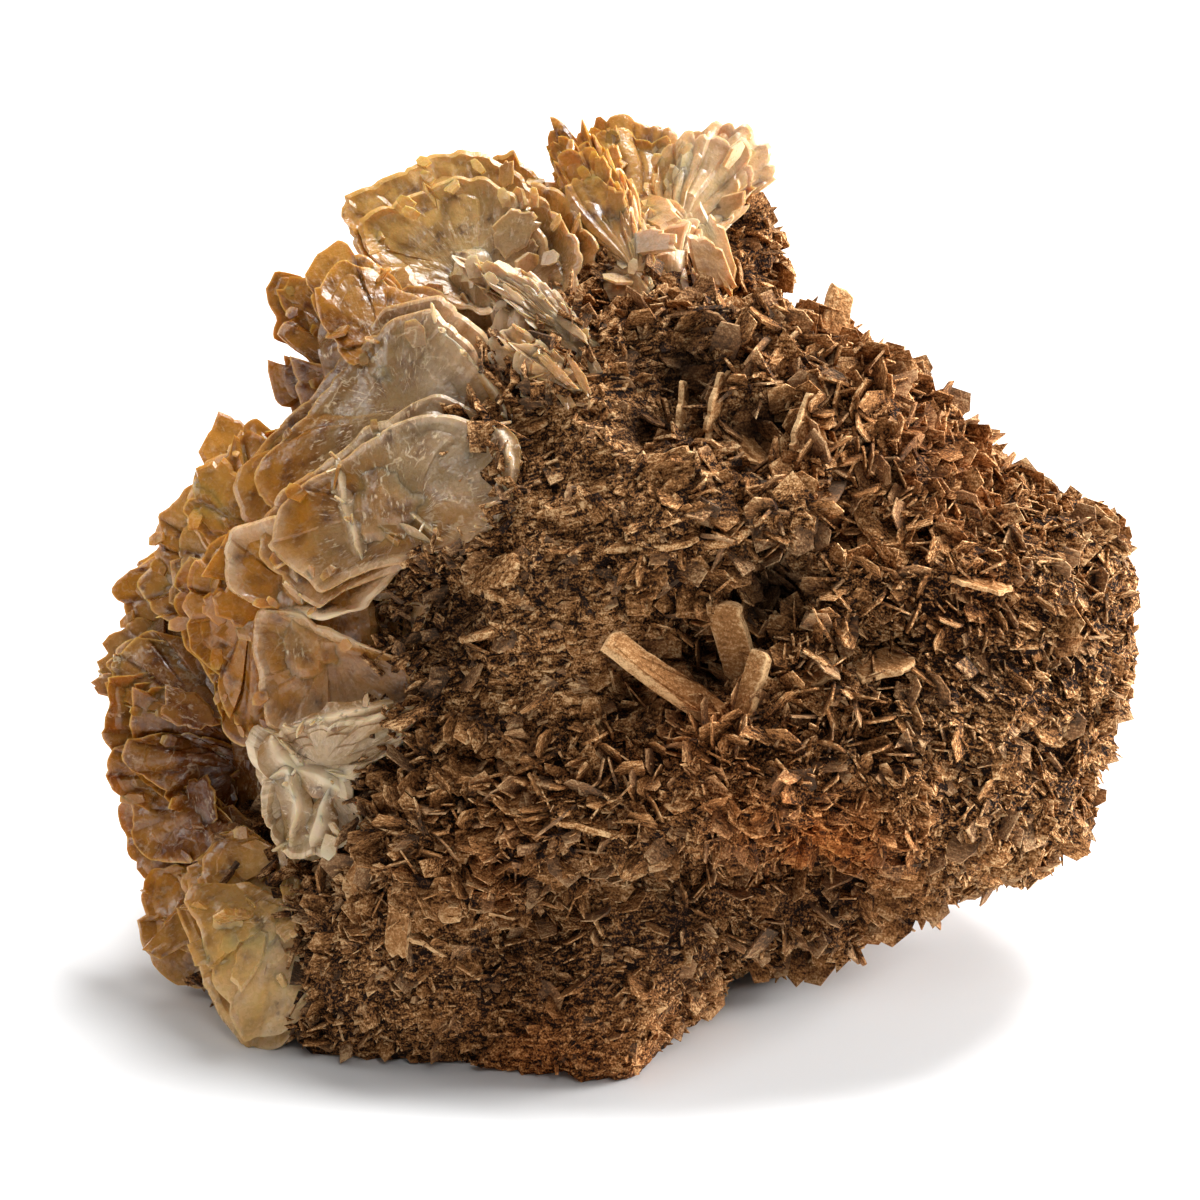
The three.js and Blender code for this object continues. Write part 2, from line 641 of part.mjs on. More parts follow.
// Blades that share a root and open like the leaves of a book about their common width.
function fanBlades({ at, out, face, reach, width }, grow) {
  const up = new THREE.Vector3(...out).normalize();
  const across = new THREE.Vector3().crossVectors(up, new THREE.Vector3(...face)).normalize();
  const normal = new THREE.Vector3().crossVectors(across, up);
  const basis = new THREE.Matrix4().makeBasis(across, up, normal).setPosition(...at);
  return Array.from({ length: FAN_BLADE.blades }, (_, i) => {
    const share = i / (FAN_BLADE.blades - 1) - 0.5;
    const size = 1 - 0.3 * Math.abs(share) - 0.08 * (i % 2);
    const geometry = bladePlate(crestOutline(reach * size, width * size), FAN_BLADE.thick, grow);
    geometry.rotateY(share);
    geometry.rotateX(share * THREE.MathUtils.degToRad(FAN_BLADE.spread));
    geometry.applyMatrix4(basis);
    return solidOf(geometry);
  });
}

// The lump with its block and all its plates.
function matrixBody(grow = 0) {
  const plates = [...PLATES, ...scatteredPlates()].map((each) => plate(each, grow));
  return joined([matrixLump(grow), rootLump(BLOCK, grow), ...plates]);
}

function crestBody(crest, grow = 0) {
  return joined([rootLump(crest.root, grow), ...crest.blades.map((blade) => drawnBlade(blade, grow))]);
}

function fanBody(fan, grow = 0) {
  return joined(fanBlades(fan, grow));
}

function floorBlock() {
  const block = new THREE.BoxGeometry(FLOOR_BLOCK, FLOOR_BLOCK, FLOOR_BLOCK);
  block.translate(0, 0, -FLOOR_BLOCK / 2);
  block.applyMatrix4(standUp.clone().invert());
  return solidOf(block);
}

function named(name, solid, colour, roughness) {
  const material = new THREE.MeshStandardMaterial({
    color: colour,
    roughness,
    metalness: 0,
    flatShading: true,
  });
  const mesh = new THREE.Mesh(geometryOf(solid), material);
  mesh.name = name;
  return mesh;
}

const specimen = new THREE.Group();
specimen.name = 'barite_specimen';

const underFloor = floorBlock();
specimen.add(named('matrix', largestBody(matrixBody().subtract(underFloor)), BROWN, 0.9));

// Each crystal is cut back from the matrix and from the crystals placed before it.
let taken = matrixBody(GAP);
for (const crystal of [...CRESTS, ...FANS]) {
  const body = crystal.blades ? crestBody : fanBody;
  const solid = largestBody(body(crystal).subtract(taken).subtract(underFloor));
  specimen.add(named(crystal.name, solid, crystal.colour ?? HONEY, 0.35));
  taken = taken.add(body(crystal, GAP));
}

export default specimen;
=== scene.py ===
import math

import bpy
import numpy as np
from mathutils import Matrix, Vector


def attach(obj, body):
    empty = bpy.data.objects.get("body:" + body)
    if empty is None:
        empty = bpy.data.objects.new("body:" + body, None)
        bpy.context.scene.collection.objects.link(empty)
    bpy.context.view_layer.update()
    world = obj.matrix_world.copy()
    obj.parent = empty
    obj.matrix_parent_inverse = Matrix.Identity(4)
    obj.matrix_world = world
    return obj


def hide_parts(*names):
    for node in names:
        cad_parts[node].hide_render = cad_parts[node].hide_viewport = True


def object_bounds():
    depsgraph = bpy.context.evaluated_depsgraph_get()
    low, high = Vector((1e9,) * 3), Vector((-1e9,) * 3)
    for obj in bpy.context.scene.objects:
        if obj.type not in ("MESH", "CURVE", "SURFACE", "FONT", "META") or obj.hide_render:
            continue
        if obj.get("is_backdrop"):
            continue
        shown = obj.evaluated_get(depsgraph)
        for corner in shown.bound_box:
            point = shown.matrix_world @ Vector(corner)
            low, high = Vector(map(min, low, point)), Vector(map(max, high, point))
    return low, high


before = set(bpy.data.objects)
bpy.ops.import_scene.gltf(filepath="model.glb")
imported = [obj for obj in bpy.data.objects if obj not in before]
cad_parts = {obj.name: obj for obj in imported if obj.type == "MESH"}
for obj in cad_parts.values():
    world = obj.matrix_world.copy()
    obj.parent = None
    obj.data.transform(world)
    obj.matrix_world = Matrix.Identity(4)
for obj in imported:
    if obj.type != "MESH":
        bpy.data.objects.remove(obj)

cadLow, cadHigh = (np.array(corner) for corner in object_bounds())
print("frame loaded:", len(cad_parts), "nodes")

# The specimen is laid out in millimetres as the camera sees it: x right, y up the view, z to the viewer.
layout = {
    "tilt": math.radians(22),  # how far above the horizon the layout is seen from
    "stand": (1.0, -24.0, -11.0),  # from the tilted layout's origin to the middle of the base
    "lowest": 0.05,  # nothing of the specimen is made lower than this
    "mm": 0.001,
}


def placed(points):
    # Turned up by the tilt, moved by the stand, kept above the floor and brought to metres.
    x, y, z = np.moveaxis(np.asarray(points, float), -1, 0)
    rise, run = math.sin(layout["tilt"]), math.cos(layout["tilt"])
    stood = np.stack([x, y * rise - z * run, y * run + z * rise], -1) + layout["stand"]
    stood[..., 2] = np.maximum(stood[..., 2], layout["lowest"])
    return stood * layout["mm"]


def unit(vectors):
    return vectors / np.maximum(np.linalg.norm(vectors, axis=-1, keepdims=True), 1e-9)


def smoothStep(low, high, values):
    share = np.clip((values - low) / (high - low), 0, 1)
    return share * share * (3 - 2 * share)


# camera, floor and lights

studio = {
    "aim": (-2.86, 67.1, 0.0),  # layout point in the middle of the picture
    "distance": 1000.0,
    "lens": 210.0,
    "floorSize": 6.0,
    "floorColour": (0.86, 0.865, 0.87, 1),
    "world": 0.17,
    "sun": {"from": (0.26, 0.42, 1.00), "power": 4.1, "angle": math.radians(26)},
    "lamps": [
        {"name": "front_fill", "at": (0.35, -1.20, 1.60), "size": 0.80, "power": 5.5},
        {"name": "left_fill", "at": (-1.30, 0.30, 0.75), "size": 0.80, "power": 5.5},
        {"name": "right_fill", "at": (1.20, 0.22, 0.42), "size": 0.60, "power": 34.0},
        {"name": "back_wash", "at": (0.00, 2.20, 1.60), "size": 1.60, "power": 22.0},
    ],
}


def addCamera(s):
    # The camera stands straight in front of the layout, so its pitch is a right angle less the tilt.
    camera = bpy.data.objects.new("camera", bpy.data.cameras.new("camera"))
    camera.data.lens = s["lens"]
    camera.data.sensor_width = 36
    camera.data.clip_start, camera.data.clip_end = 0.05, 20
    camera.location = placed(np.add(s["aim"], (0, 0, s["distance"])))
    camera.rotation_euler = (math.pi / 2 - layout["tilt"], 0, 0)
    bpy.context.scene.collection.objects.link(camera)
    bpy.context.scene.camera = camera


def addLamp(lamp, aim):
    light = bpy.data.lights.new(lamp["name"], "AREA")
    light.shape, light.size, light.energy = "DISK", lamp["size"], lamp["power"]
    obj = bpy.data.objects.new(lamp["name"], light)
    obj.location = lamp["at"]
    obj.rotation_euler = (Vector(aim) - Vector(lamp["at"])).to_track_quat("-Z", "Y").to_euler()
    bpy.context.scene.collection.objects.link(obj)


def addSun(sun):
    light = bpy.data.lights.new("sun", "SUN")
    light.energy, light.angle = sun["power"], sun["angle"]
    obj = bpy.data.objects.new("sun", light)
    obj.rotation_euler = Vector(sun["from"]).to_track_quat("Z", "Y").to_euler()
    bpy.context.scene.collection.objects.link(obj)


def plainMaterial(name, colour, roughness):
    material = bpy.data.materials.new(name)
    material.use_nodes = True
    shader = material.node_tree.nodes["Principled BSDF"]
    shader.inputs["Base Color"].default_value = colour
    shader.inputs["Roughness"].default_value = roughness
    return material


def addStudio(s):
    addCamera(s)
    half = s["floorSize"] / 2
    mesh = bpy.data.meshes.new("floor")
    corners = [(-half, -half, 0), (half, -half, 0), (half, half, 0), (-half, half, 0)]
    mesh.from_pydata(corners, [], [(0, 1, 2, 3)])
    mesh.materials.append(plainMaterial("pale_floor", s["floorColour"], 0.7))
    floor = bpy.data.objects.new("floor", mesh)
    bpy.context.scene.collection.objects.link(floor)
    floor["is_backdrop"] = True
    aim = placed(s["aim"])
    addSun(s["sun"])
    for lamp in s["lamps"]:
        addLamp(lamp, aim)
    world = bpy.data.worlds.new("studio_world")
    world.use_nodes = True
    world.node_tree.nodes["Background"].inputs["Color"].default_value = (1, 1, 1, 1)
    world.node_tree.nodes["Background"].inputs["Strength"].default_value = s["world"]
    bpy.context.scene.world = world
    bpy.context.scene.view_settings.view_transform = "Standard"


addStudio(studio)
print("studio ready")


# noise

def cornerValue(cell, seed):
    # Whole-number mixing of a lattice corner into a value from -1 to 1.
    mixed = cell[..., 0] * 73856093 ^ cell[..., 1] * 19349663 ^ cell[..., 2] * 83492791 ^ seed * 2654435761
    mixed = ((mixed ^ (mixed >> 13)) * 1274126177) & 0xFFFFFFFF
    return ((mixed ^ (mixed >> 16)) & 0xFFFF) / 32767.5 - 1


def softNoise(points, size, seed=0):
    # Random values on a lattice of cells `size` wide, blended smoothly between the eight corners of a cell.
    scaled = np.asarray(points, float) / size + 31.7 * seed
    cell = np.floor(scaled).astype(np.int64)
    part = scaled - cell
    part = part * part * (3 - 2 * part)
    total = np.zeros(scaled.shape[:-1])
    for corner in np.ndindex(2, 2, 2):
        weight = np.prod(np.where(np.array(corner) == 1, part, 1 - part), axis=-1)
        total += weight * cornerValue(cell + np.array(corner), seed)
    return total


def ridgeNoise(points, size, seed=0):
    # Sharp crests where the smooth noise passes nought: one less twice its size.
    return 1 - 2 * np.abs(softNoise(points, size, seed))


def noiseVectors(points, size, seeds):
    return np.stack([softNoise(points, size, seed) for seed in seeds], -1)


# shells: points, faces and per-vertex values, joined before they become a mesh

def shellFaces(rings, around):
    # Quads between neighbouring rings, and fans of triangles to the two poles, which are the last two points.
    here = np.arange(around)
    there = (here + 1) % around
    start = (np.arange(rings - 1) * around)[:, None]
    quads = np.stack([start + here, start + around + here, start + around + there, start + there], -1)
    first, last = rings * around, rings * around + 1
    end = (rings - 1) * around
    top = np.stack([np.full(around, first), here, there], -1)
    bottom = np.stack([np.full(around, last), end + there, end + here], -1)
    return [quads.reshape(-1, 4), np.concatenate([top, bottom])]


def joinShells(shells):
    offset, points, polygons, values = 0, [], {}, {}
    for shell in shells:
        points.append(shell["points"])
        for faces in shell["faces"]:
            polygons.setdefault(faces.shape[1], []).append(faces + offset)
        for name, value in shell["values"].items():
            values.setdefault(name, []).append(np.broadcast_to(value, len(shell["points"])))
        offset += len(shell["points"])
    return {
        "points": np.concatenate(points),
        "faces": [np.concatenate(group) for group in polygons.values()],
        "values": {name: np.concatenate(group) for name, group in values.items()},
    }


def addPiece(name, shells, material, nodes, smooth=True, sharp=0.7):
    # One object at the origin, its place in its mesh, riding on the body and standing for its CAD nodes.
    whole = joinShells(shells)
    mesh = bpy.data.meshes.new(name)
    mesh.vertices.add(len(whole["points"]))
    mesh.vertices.foreach_set("co", placed(whole["points"]).astype(np.float32).ravel())
    sizes = np.concatenate([np.full(len(faces), faces.shape[1]) for faces in whole["faces"]])
    corners = np.concatenate([faces.ravel() for faces in whole["faces"]])
    mesh.loops.add(len(corners))
    mesh.loops.foreach_set("vertex_index", corners.astype(np.int32))
    mesh.polygons.add(len(sizes))
    mesh.polygons.foreach_set("loop_start", np.concatenate([[0], np.cumsum(sizes)[:-1]]).astype(np.int32))
    mesh.update(calc_edges=True)
    for title, value in whole["values"].items():
        layer = mesh.attributes.new(title, "FLOAT", "POINT")
        layer.data.foreach_set("value", value.astype(np.float32))
    mesh.polygons.foreach_set("use_smooth", np.full(len(sizes), smooth))
    if smooth:
        mesh.set_sharp_from_angle(angle=sharp)
    mesh.materials.append(material)
    piece = bpy.data.objects.new(name, mesh)
    bpy.context.scene.collection.objects.link(piece)
    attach(piece, "root")
    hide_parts(*nodes)
    print(name, int(np.sum(sizes - 2)), "triangles")
    return int(np.sum(sizes - 2))


# materials

def nodeTools(name):
    # A new material, its shader, and short calls for the nodes that both finishes are made of.
    material = bpy.data.materials.new(name)
    material.use_nodes = True
    tree = material.node_tree

    def add(kind, inputs=(), **settings):
        node = tree.nodes.new(kind)
        for key, value in settings.items():
            setattr(node, key, value)
        for socket, value in dict(inputs).items():
            if isinstance(value, bpy.types.NodeSocket):
                tree.links.new(value, node.inputs[socket])
            else:
                node.inputs[socket].default_value = value
        return node

    def sums(operation):
        def node(a, b=0.0, clamp=False):
            return add("ShaderNodeMath", {0: a, 1: b}, operation=operation, use_clamp=clamp).outputs[0]
        return node

    def attribute(name):
        return add("ShaderNodeAttribute", attribute_name=name).outputs["Fac"]

    def blend(share, a, b, kind="MIX"):
        return add("ShaderNodeMix", {0: share, 6: a, 7: b}, data_type="RGBA", blend_type=kind).outputs[2]

    def range01(value, low, high, out0=0.0, out1=1.0):
        inputs = {0: value, 1: low, 2: high, 3: out0, 4: out1}
        return add("ShaderNodeMapRange", inputs, interpolation_type="SMOOTHSTEP").outputs[0]

    def noise(vector, scale, detail):
        return add("ShaderNodeTexNoise", {"Vector": vector, "Scale": scale, "Detail": detail}).outputs["Fac"]

    maths = sums("ADD"), sums("SUBTRACT"), sums("MULTIPLY")
    return material, tree.nodes["Principled BSDF"], add, attribute, blend, range01, noise, *maths


def finish(shader, colour, bump, fixed):
    # The worked-out colour and bump are linked. What is the same all over is set on the shader's own sockets.
    shader.id_data.links.new(colour, shader.inputs["Base Color"])
    shader.id_data.links.new(bump.outputs[0], shader.inputs["Normal"])
    for socket, value in fixed.items():
        shader.inputs[socket].default_value = value


def rgb(red, green, blue):
    return (red, green, blue, 1)


matrixLook = {
    # the darkest colour here is painted shade, and the lightest is pale tan with painted light
    "paintedPitShade": rgb(0.012, 0.005, 0.003),
    "brown": rgb(0.150, 0.060, 0.018),
    "tan": rgb(0.430, 0.195, 0.066),
    "paleTanAndPaintedLight": rgb(0.800, 0.510, 0.250),
    "grey": rgb(0.240, 0.150, 0.090),
    "rust": rgb(0.500, 0.260, 0.080),
    "slots": (0.60, -0.80, 0),  # layout direction in which the slots of the right side run
    "strata": (0.78, 0.62, 0),  # and the one of the sandy layers
    "scales": {"slots": 1900.0, "strata": 1700.0, "speck": 3600.0, "clumps": 420.0, "patches": 75.0},
    "bumpHeight": 0.0006,
    "shader": {"Roughness": 0.80, "Specular IOR Level": 0.12},
}


def matrixMaterial(look):
    # Dark at the foot of each flake and tan at its edge, which is painted shade and painted light over the
    # rock's own browns, sanded with fine grains, stained rusty in places.
    # The grains are drawn out along the slots or the strata: the part of the place along them is shrunk.
    material, shader, add, attribute, blend, range01, noise, plus, minus, times = nodeTools("matrix_rock")
    place = add("ShaderNodeTexCoord").outputs["Object"]
    loose = minus(1.0, attribute("clean"))

    def drawnOut(way, keep):
        axis = tuple(unit(placed(way) - placed((0, 0, 0))))
        along = add("ShaderNodeVectorMath", {0: place, 1: axis}, operation="DOT_PRODUCT").outputs["Value"]
        back = add("ShaderNodeVectorMath", {0: axis, 3: times(along, keep - 1)}, operation="SCALE")
        return add("ShaderNodeVectorMath", {0: place, 1: back.outputs[0]}, operation="ADD").outputs[0]

    def about(value, amount):
        return times(minus(value, 0.5), times(loose, amount))

    scales = look["scales"]
    slots = noise(drawnOut(look["slots"], 0.30), scales["slots"], 2.0)
    strata = noise(drawnOut(look["strata"], 0.35), scales["strata"], 3.0)
    grain = plus(strata, times(attribute("slant"), minus(slots, strata)))
    speck = noise(place, scales["speck"], 1.0)
    clumps = noise(place, scales["clumps"], 2.0)
    patches = noise(place, scales["patches"], 3.0)
    # the tip value carries painted shade at the feet of the flakes and in the pits, and painted light on
    # their tips and the crags
    lit = attribute("tip")
    for value, amount in ((grain, 2.7), (speck, 1.7), (clumps, 0.5), (patches, 0.5)):
        lit = plus(lit, about(value, amount))
    ramp = add("ShaderNodeValToRGB", {0: lit})
    ramp.color_ramp.elements[0].position, ramp.color_ramp.elements[0].color = 0.08, look["paintedPitShade"]
    ramp.color_ramp.elements[1].position, ramp.color_ramp.elements[1].color = 1.0, look["paleTanAndPaintedLight"]
    for position, colour in ((0.36, look["brown"]), (0.70, look["tan"])):
        ramp.color_ramp.elements.new(position).color = colour
    colour = blend(range01(attribute("tone"), 0.6, 1.0, 0.0, 0.45), ramp.outputs[0], look["grey"])
    stain = times(attribute("stain"), range01(patches, 0.3, 0.6, 0.3, 0.75))
    colour = blend(stain, colour, blend(1.0, ramp.outputs[0], look["rust"], "OVERLAY"))
    # painted shade: the colour is drawn towards the darkest one where the shade patches lie
    colour = blend(attribute("shade"), colour, look["paintedPitShade"])
    height = times(plus(grain, times(speck, 0.3)), plus(loose, 0.15))
    bump = add("ShaderNodeBump", {"Height": height, "Strength": 1.0, "Distance": look["bumpHeight"]})
    finish(shader, colour, bump, look["shader"])
    return material


crystalLook = {
    "grey": rgb(0.295, 0.182, 0.073),
    "honey": rgb(0.500, 0.190, 0.008),
    "deep": rgb(0.130, 0.033, 0.002),
    "pale": rgb(0.730, 0.420, 0.110),
    "frost": rgb(0.840, 0.650, 0.430),
    "dirt": rgb(0.090, 0.036, 0.012),
    "scales": {
        "fibres": 0.9, "paintedGlints": 1.7, "clouds": 110.0, "mottle": 380.0, "fine": 1500.0, "veins": 170.0,
    },
    "bumpHeight": 0.0006,
    "shader": {
        "IOR": 1.64,
        "Specular IOR Level": 0.3,
        "Subsurface Weight": 0.5,
        "Subsurface Radius": (1.0, 0.58, 0.26),  # how much further red light travels in it than blue
        "Subsurface Scale": 0.0017,
        "Transmission Weight": 0.06,
    },
}


def crystalMaterial(look):
    # Grey and milky in the middle, honey near the crests, pale at the very edge, white where it is fractured,
    # paler with painted light where light would shine through, darker with painted shade in the recesses.
    # Fine fibres run out from the root of each blade: noise on the turn about the root and some of the reach.
    # White veins lie where another noise passes its middle value, and short white flecks along the fibres are
    # painted glints.
    material, shader, add, attribute, blend, range01, noise, plus, minus, times = nodeTools("milky_barite")
    place = add("ShaderNodeTexCoord").outputs["Object"]
    honey, frost, edge, tone = (attribute(name) for name in ("honey", "frost", "edge", "tone"))
    turn, reach = attribute("turn"), attribute("reach")

    def rays(turnShare, reachShare):
        parts = {0: times(turn, turnShare), 1: times(reach, reachShare), 2: times(tone, 30.0)}
        return add("ShaderNodeCombineXYZ", parts).outputs[0]

    scales = look["scales"]
    far = range01(reach, 2.0, 10.0)
    fibres = plus(times(minus(noise(rays(1.0, 0.14), scales["fibres"], 3.0), 0.5), far), 0.5)
    clouds, mottle, fine = (noise(place, scales[name], 3.0) for name in ("clouds", "mottle", "fine"))
    warm = plus(honey, times(minus(clouds, 0.5), 0.9))
    warm = plus(warm, times(minus(fibres, 0.5), 0.7), clamp=True)
    colour = blend(warm, look["grey"], look["honey"])
    # painted light: paler where the light patches lie, as if light shone through
    colour = blend(attribute("light"), colour, look["pale"])
    # painted shade: towards the deep colour with the mottling and with the dark values, which are mostly
    # painted shade in the recesses
    deep = plus(times(range01(mottle, 0.40, 0.75), 0.55), attribute("dark"))
    deep = times(deep, range01(edge, 0.2, 0.9, 1.0, 0.25), clamp=True)
    colour = blend(deep, colour, look["deep"])
    pale = times(range01(edge, 0.50, 1.0), range01(mottle, 0.30, 0.6, 0.10, 0.75))
    colour = blend(pale, colour, look["pale"])
    cool = range01(warm, 0.2, 0.9, 1.0, 0.25)
    away = minus(noise(place, scales["veins"], 4.0), 0.5)
    away = add("ShaderNodeMath", {0: away}, operation="ABSOLUTE").outputs[0]
    veins = times(times(range01(away, 0.0, 0.018, 1.0, 0.0), cool), range01(clouds, 0.40, 0.58, 0.0, 0.60))
    colour = blend(veins, colour, look["frost"])
    # painted glints: short white flecks along the fibres, on the grey parts
    paintedGlints = range01(noise(rays(1.6, 0.5), scales["paintedGlints"], 2.0), 0.57, 0.65, 0.0, 0.7)
    paintedGlints = times(times(paintedGlints, cool), range01(mottle, 0.45, 0.60))
    colour = blend(paintedGlints, colour, look["frost"])
    white = times(frost, range01(plus(fibres, clouds), 0.70, 1.15, 0.30, 1.0), clamp=True)
    colour = blend(white, colour, look["frost"])
    dirt = times(range01(mottle, 0.60, 0.72), range01(fine, 0.42, 0.62))
    colour = blend(times(dirt, 0.7), colour, look["dirt"])
    height = plus(times(mottle, 0.8), times(fine, 0.25))
    height = plus(height, times(fibres, plus(times(frost, 1.2), 0.35)))
    bump = add("ShaderNodeBump", {"Height": height, "Strength": 0.5, "Distance": look["bumpHeight"]})
    rough = plus(times(white, 0.20), range01(fine, 0.3, 0.7, 0.12, 0.34))
    shader.id_data.links.new(rough, shader.inputs["Roughness"])
    finish(shader, colour, bump, look["shader"])
    return material


rockMaterial = matrixMaterial(matrixLook)
bariteMaterial = crystalMaterial(crystalLook)
print("materials ready")


# the brown lump

lump = {
    "heart": (20, 61, 0),
    "sunk": 1.3,  # the rock lies this much lower, and its flakes reach the full size
    "depth": 37,  # from the heart to the front and to the back
    "squareness": 2.4,  # exponent of the sweep: 2 is an ellipse, more is boxier
    "outline": [
        (73, 66), (71.5, 76.5), (67.5, 79.5), (56, 84), (46.5, 92.5), (39.5, 99), (31.5, 103.5), (17, 108.5),
        (4, 110), (-8, 108), (-22, 104), (-36, 94), (-44, 80), (-48, 62), (-50, 45), (-54, 28), (-58, 12),
        (-52, -2), (-38, -8), (-26, -10), (-12, -14), (-4, -15), (4, -2), (15, 13), (36, 20.5), (48, 26),
        (60.5, 29), (66, 38.5), (70, 50),
    ],
    "swells": [  # place, rise (less than nought for a hollow) and spread
        ((-22, 38, 30), 6, 11), ((0, 38, 36), 6, 12), ((20, 42, 37), 7, 13), ((42, 36, 30), 7, 13),
        ((-14, 20, 30), -6, 8), ((6, 25, 32), -9, 9), ((26, 25, 27), -10, 10), ((-2, 8, 29), 4, 11),
        ((-34, 14, 22), 4, 12), ((-54, 14, 18), -8, 9), ((-50, 38, 18), -11, 13), ((-46, 58, 19), -11, 14),
        ((-42, 76, 18), -11, 14), ((-32, 93, 16), -9, 12), ((-16, 104, 10), -6, 9), ((9, 100, 26), -12, 4.5),
        ((4, 92, 28), -9, 4.5), ((12, 91, 29), -9, 4), ((20, 91, 29), -11, 4.5), ((17, 101, 18), 4, 6),
        ((2, 57, 37), -9, 7), ((13, 60, 37), -10, 6.5), ((21, 69, 36), -10, 5), ((33, 79, 32), -7, 5.5),
        ((38, 62, 35), -6, 5.5), ((-20, 45, 34), -5, 6), ((-10, 66, 35), 3.5, 10), ((6, 78, 34), 4, 9),
        ((62, 58, 16), 1.5, 12),
    ],
    "ripples": [(1.4, 15), (0.9, 7), (0.8, 3.1)],  # height and wavelength
    "crags": [(1.7, 8.5, 3), (1.3, 4.2, 4), (0.7, 2.1, 5)],  # height, size and seed of the finer relief
    "around": 350,
    "rings": 160,
    "block": {"at": (16, 112, -14), "radii": (7, 13, 10), "around": 90, "rings": 48},
}


# The texture of the lump changes from place to place. Most values of a zone are those of its flakes: they
# lie down by `lie`, stand in line with the grain, in degrees, as far as `order` says, and `plates` is the
# share of large ones. `crag` scales the relief, `slant` turns the grains of the finish from the strata to the
# slots, `base` is the brightness of the ground and `cover` says how thickly it is covered.
zones = {
    "values": (
        "height", "width", "thick", "lie", "plates", "order", "grain", "crag", "slant", "base", "cover",
    ),
    "plain": (1.2, 1.3, 0.40, 0.25, 0.5, 0.3, -30, 1.0, 0.5, 0.16, 1),
    "each": [  # place, spread and values
        ((-10, 88, 28), 18, (0.7, 1.0, 0.50, 0.80, 0.5, 0.6, 38, 0.8, 0, 0.37, 0.35)),
        ((-16, 62, 34), 14, (0.8, 1.2, 0.50, 0.75, 1.0, 0.6, 34, 1.0, 0, 0.36, 0.4)),
        ((17, 97, 26), 15, (1.5, 1.7, 0.50, 0.45, 1.3, 0.2, 0, 1.7, 0.2, 0.30, 1)),
        ((36, 92, 22), 12, (1.9, 1.9, 0.32, 0.12, 1.5, 0.2, 60, 1.2, 0.5, 0.16, 1)),
        ((46, 86, 23), 9, (2.1, 2.0, 0.34, 0.05, 2.2, 0.2, 60, 1.2, 0.6, 0.20, 1)),
        ((57, 60, 15), 24, (1.2, 1.7, 0.26, 0.05, 0.15, 0.8, -53, 0.9, 1, 0.20, 0.9)),
        ((15, 57, 36), 14, (2.0, 1.3, 0.32, 0.20, 1.6, 0.1, -20, 1.3, 0.6, 0.24, 0.9)),
        ((-15, 36, 33), 13, (2.6, 1.3, 0.28, 0.25, 2.4, 0.5, -15, 1.2, 0.4, 0.23, 1)),
        ((16, 38, 38), 12, (1.5, 1.0, 0.28, 0.12, 0.4, 0.3, -60, 1.0, 0.7, 0.36, 1)),
        ((-8, 10, 26), 20, (1.0, 0.9, 0.26, 0.20, 0.15, 0.4, 20, 1.1, 0.3, 0.30, 0.85)),
        ((10, 60, -36), 40, (1.6, 1.6, 0.42, 0.15, 0.5, 0.4, -40, 1.0, 0.7, 0.20, 1)),
    ],
}


def zoneWeights(points):
    # The share of each zone at each point: bell curves about the zones, with a little of the plain one.
    weights = [np.full(len(points), 0.12)]
    for at, spread, _ in zones["each"]:
        away = np.linalg.norm(points - np.array(at), axis=-1)
        weights.append(np.exp(-((away / spread) ** 2)))
    weights = np.array(weights)
    return weights / weights.sum(0)


def zoneValue(weights, key):
    # One value of the zones, or the direction of their grain, mixed by the weights.
    column = zones["values"].index(key)
    values = [values[column] for values in (zones["plain"], *(zone[2] for zone in zones["each"]))]
    if key == "grain":
        values = [(math.cos(math.radians(degrees)), math.sin(math.radians(degrees)), 0) for degrees in values]
    return np.tensordot(weights, np.array(values, float), (0, 0))


def lumpReach(angle):
    # How far the outline reaches from the heart at an angle, linear between the corners on either side.
    arms = np.array(lump["outline"], float) - lump["heart"][:2]
    order = np.argsort(np.arctan2(arms[:, 1], arms[:, 0]))
    turns = np.arctan2(arms[:, 1], arms[:, 0])[order]
    return np.interp(angle, turns, np.linalg.norm(arms[order], axis=1), period=2 * np.pi)


def crossedWaves(p, length):
    # Two products of crossed sine waves, from -1 to 1.
    k = 2 * np.pi / length
    x, y, z = np.moveaxis(p, -1, 0)
    first = np.sin(k * (x + 0.6 * y)) * np.sin(k * (y + 0.5 * z) + 1.7)
    second = np.sin(k * (z - 0.4 * x) + 0.6) * np.sin(k * (0.8 * y - 0.7 * x) + 2.9)
    return (first + second) / 2


def cragsAt(points):
    # Ridged and smooth noise of several sizes, which makes chunks, ledges and pits.
    relief = np.zeros(points.shape[:-1])
    for height, size, seed in lump["crags"]:
        soft = softNoise(points, size * 0.8, seed + 9)
        relief += height * (0.6 * ridgeNoise(points, size, seed) + 0.7 * soft - 0.15)
    return relief * zoneValue(zoneWeights(points), "crag")


def lumpSurface(directions):
    # The outline is swept to the front and back as a squarish ellipse, then raised by swells, ripples, crags.
    side = np.hypot(directions[..., 0], directions[..., 1])
    side = side / lumpReach(np.arctan2(directions[..., 1], directions[..., 0]))
    front = np.abs(directions[..., 2]) / lump["depth"]
    body = (side ** lump["squareness"] + front ** lump["squareness"]) ** (-1 / lump["squareness"])
    smooth = np.array(lump["heart"]) + directions * body[..., None]
    rise = np.full(body.shape, -lump["sunk"])
    for at, height, spread in lump["swells"]:
        away = np.linalg.norm(smooth - np.array(at), axis=-1)
        rise += height * np.exp(-((away / spread) ** 2))
    for height, length in lump["ripples"]:
        rise += height * crossedWaves(smooth, length)
    crags = cragsAt(smooth)
    return np.array(lump["heart"]) + directions * (body + rise + crags)[..., None], crags


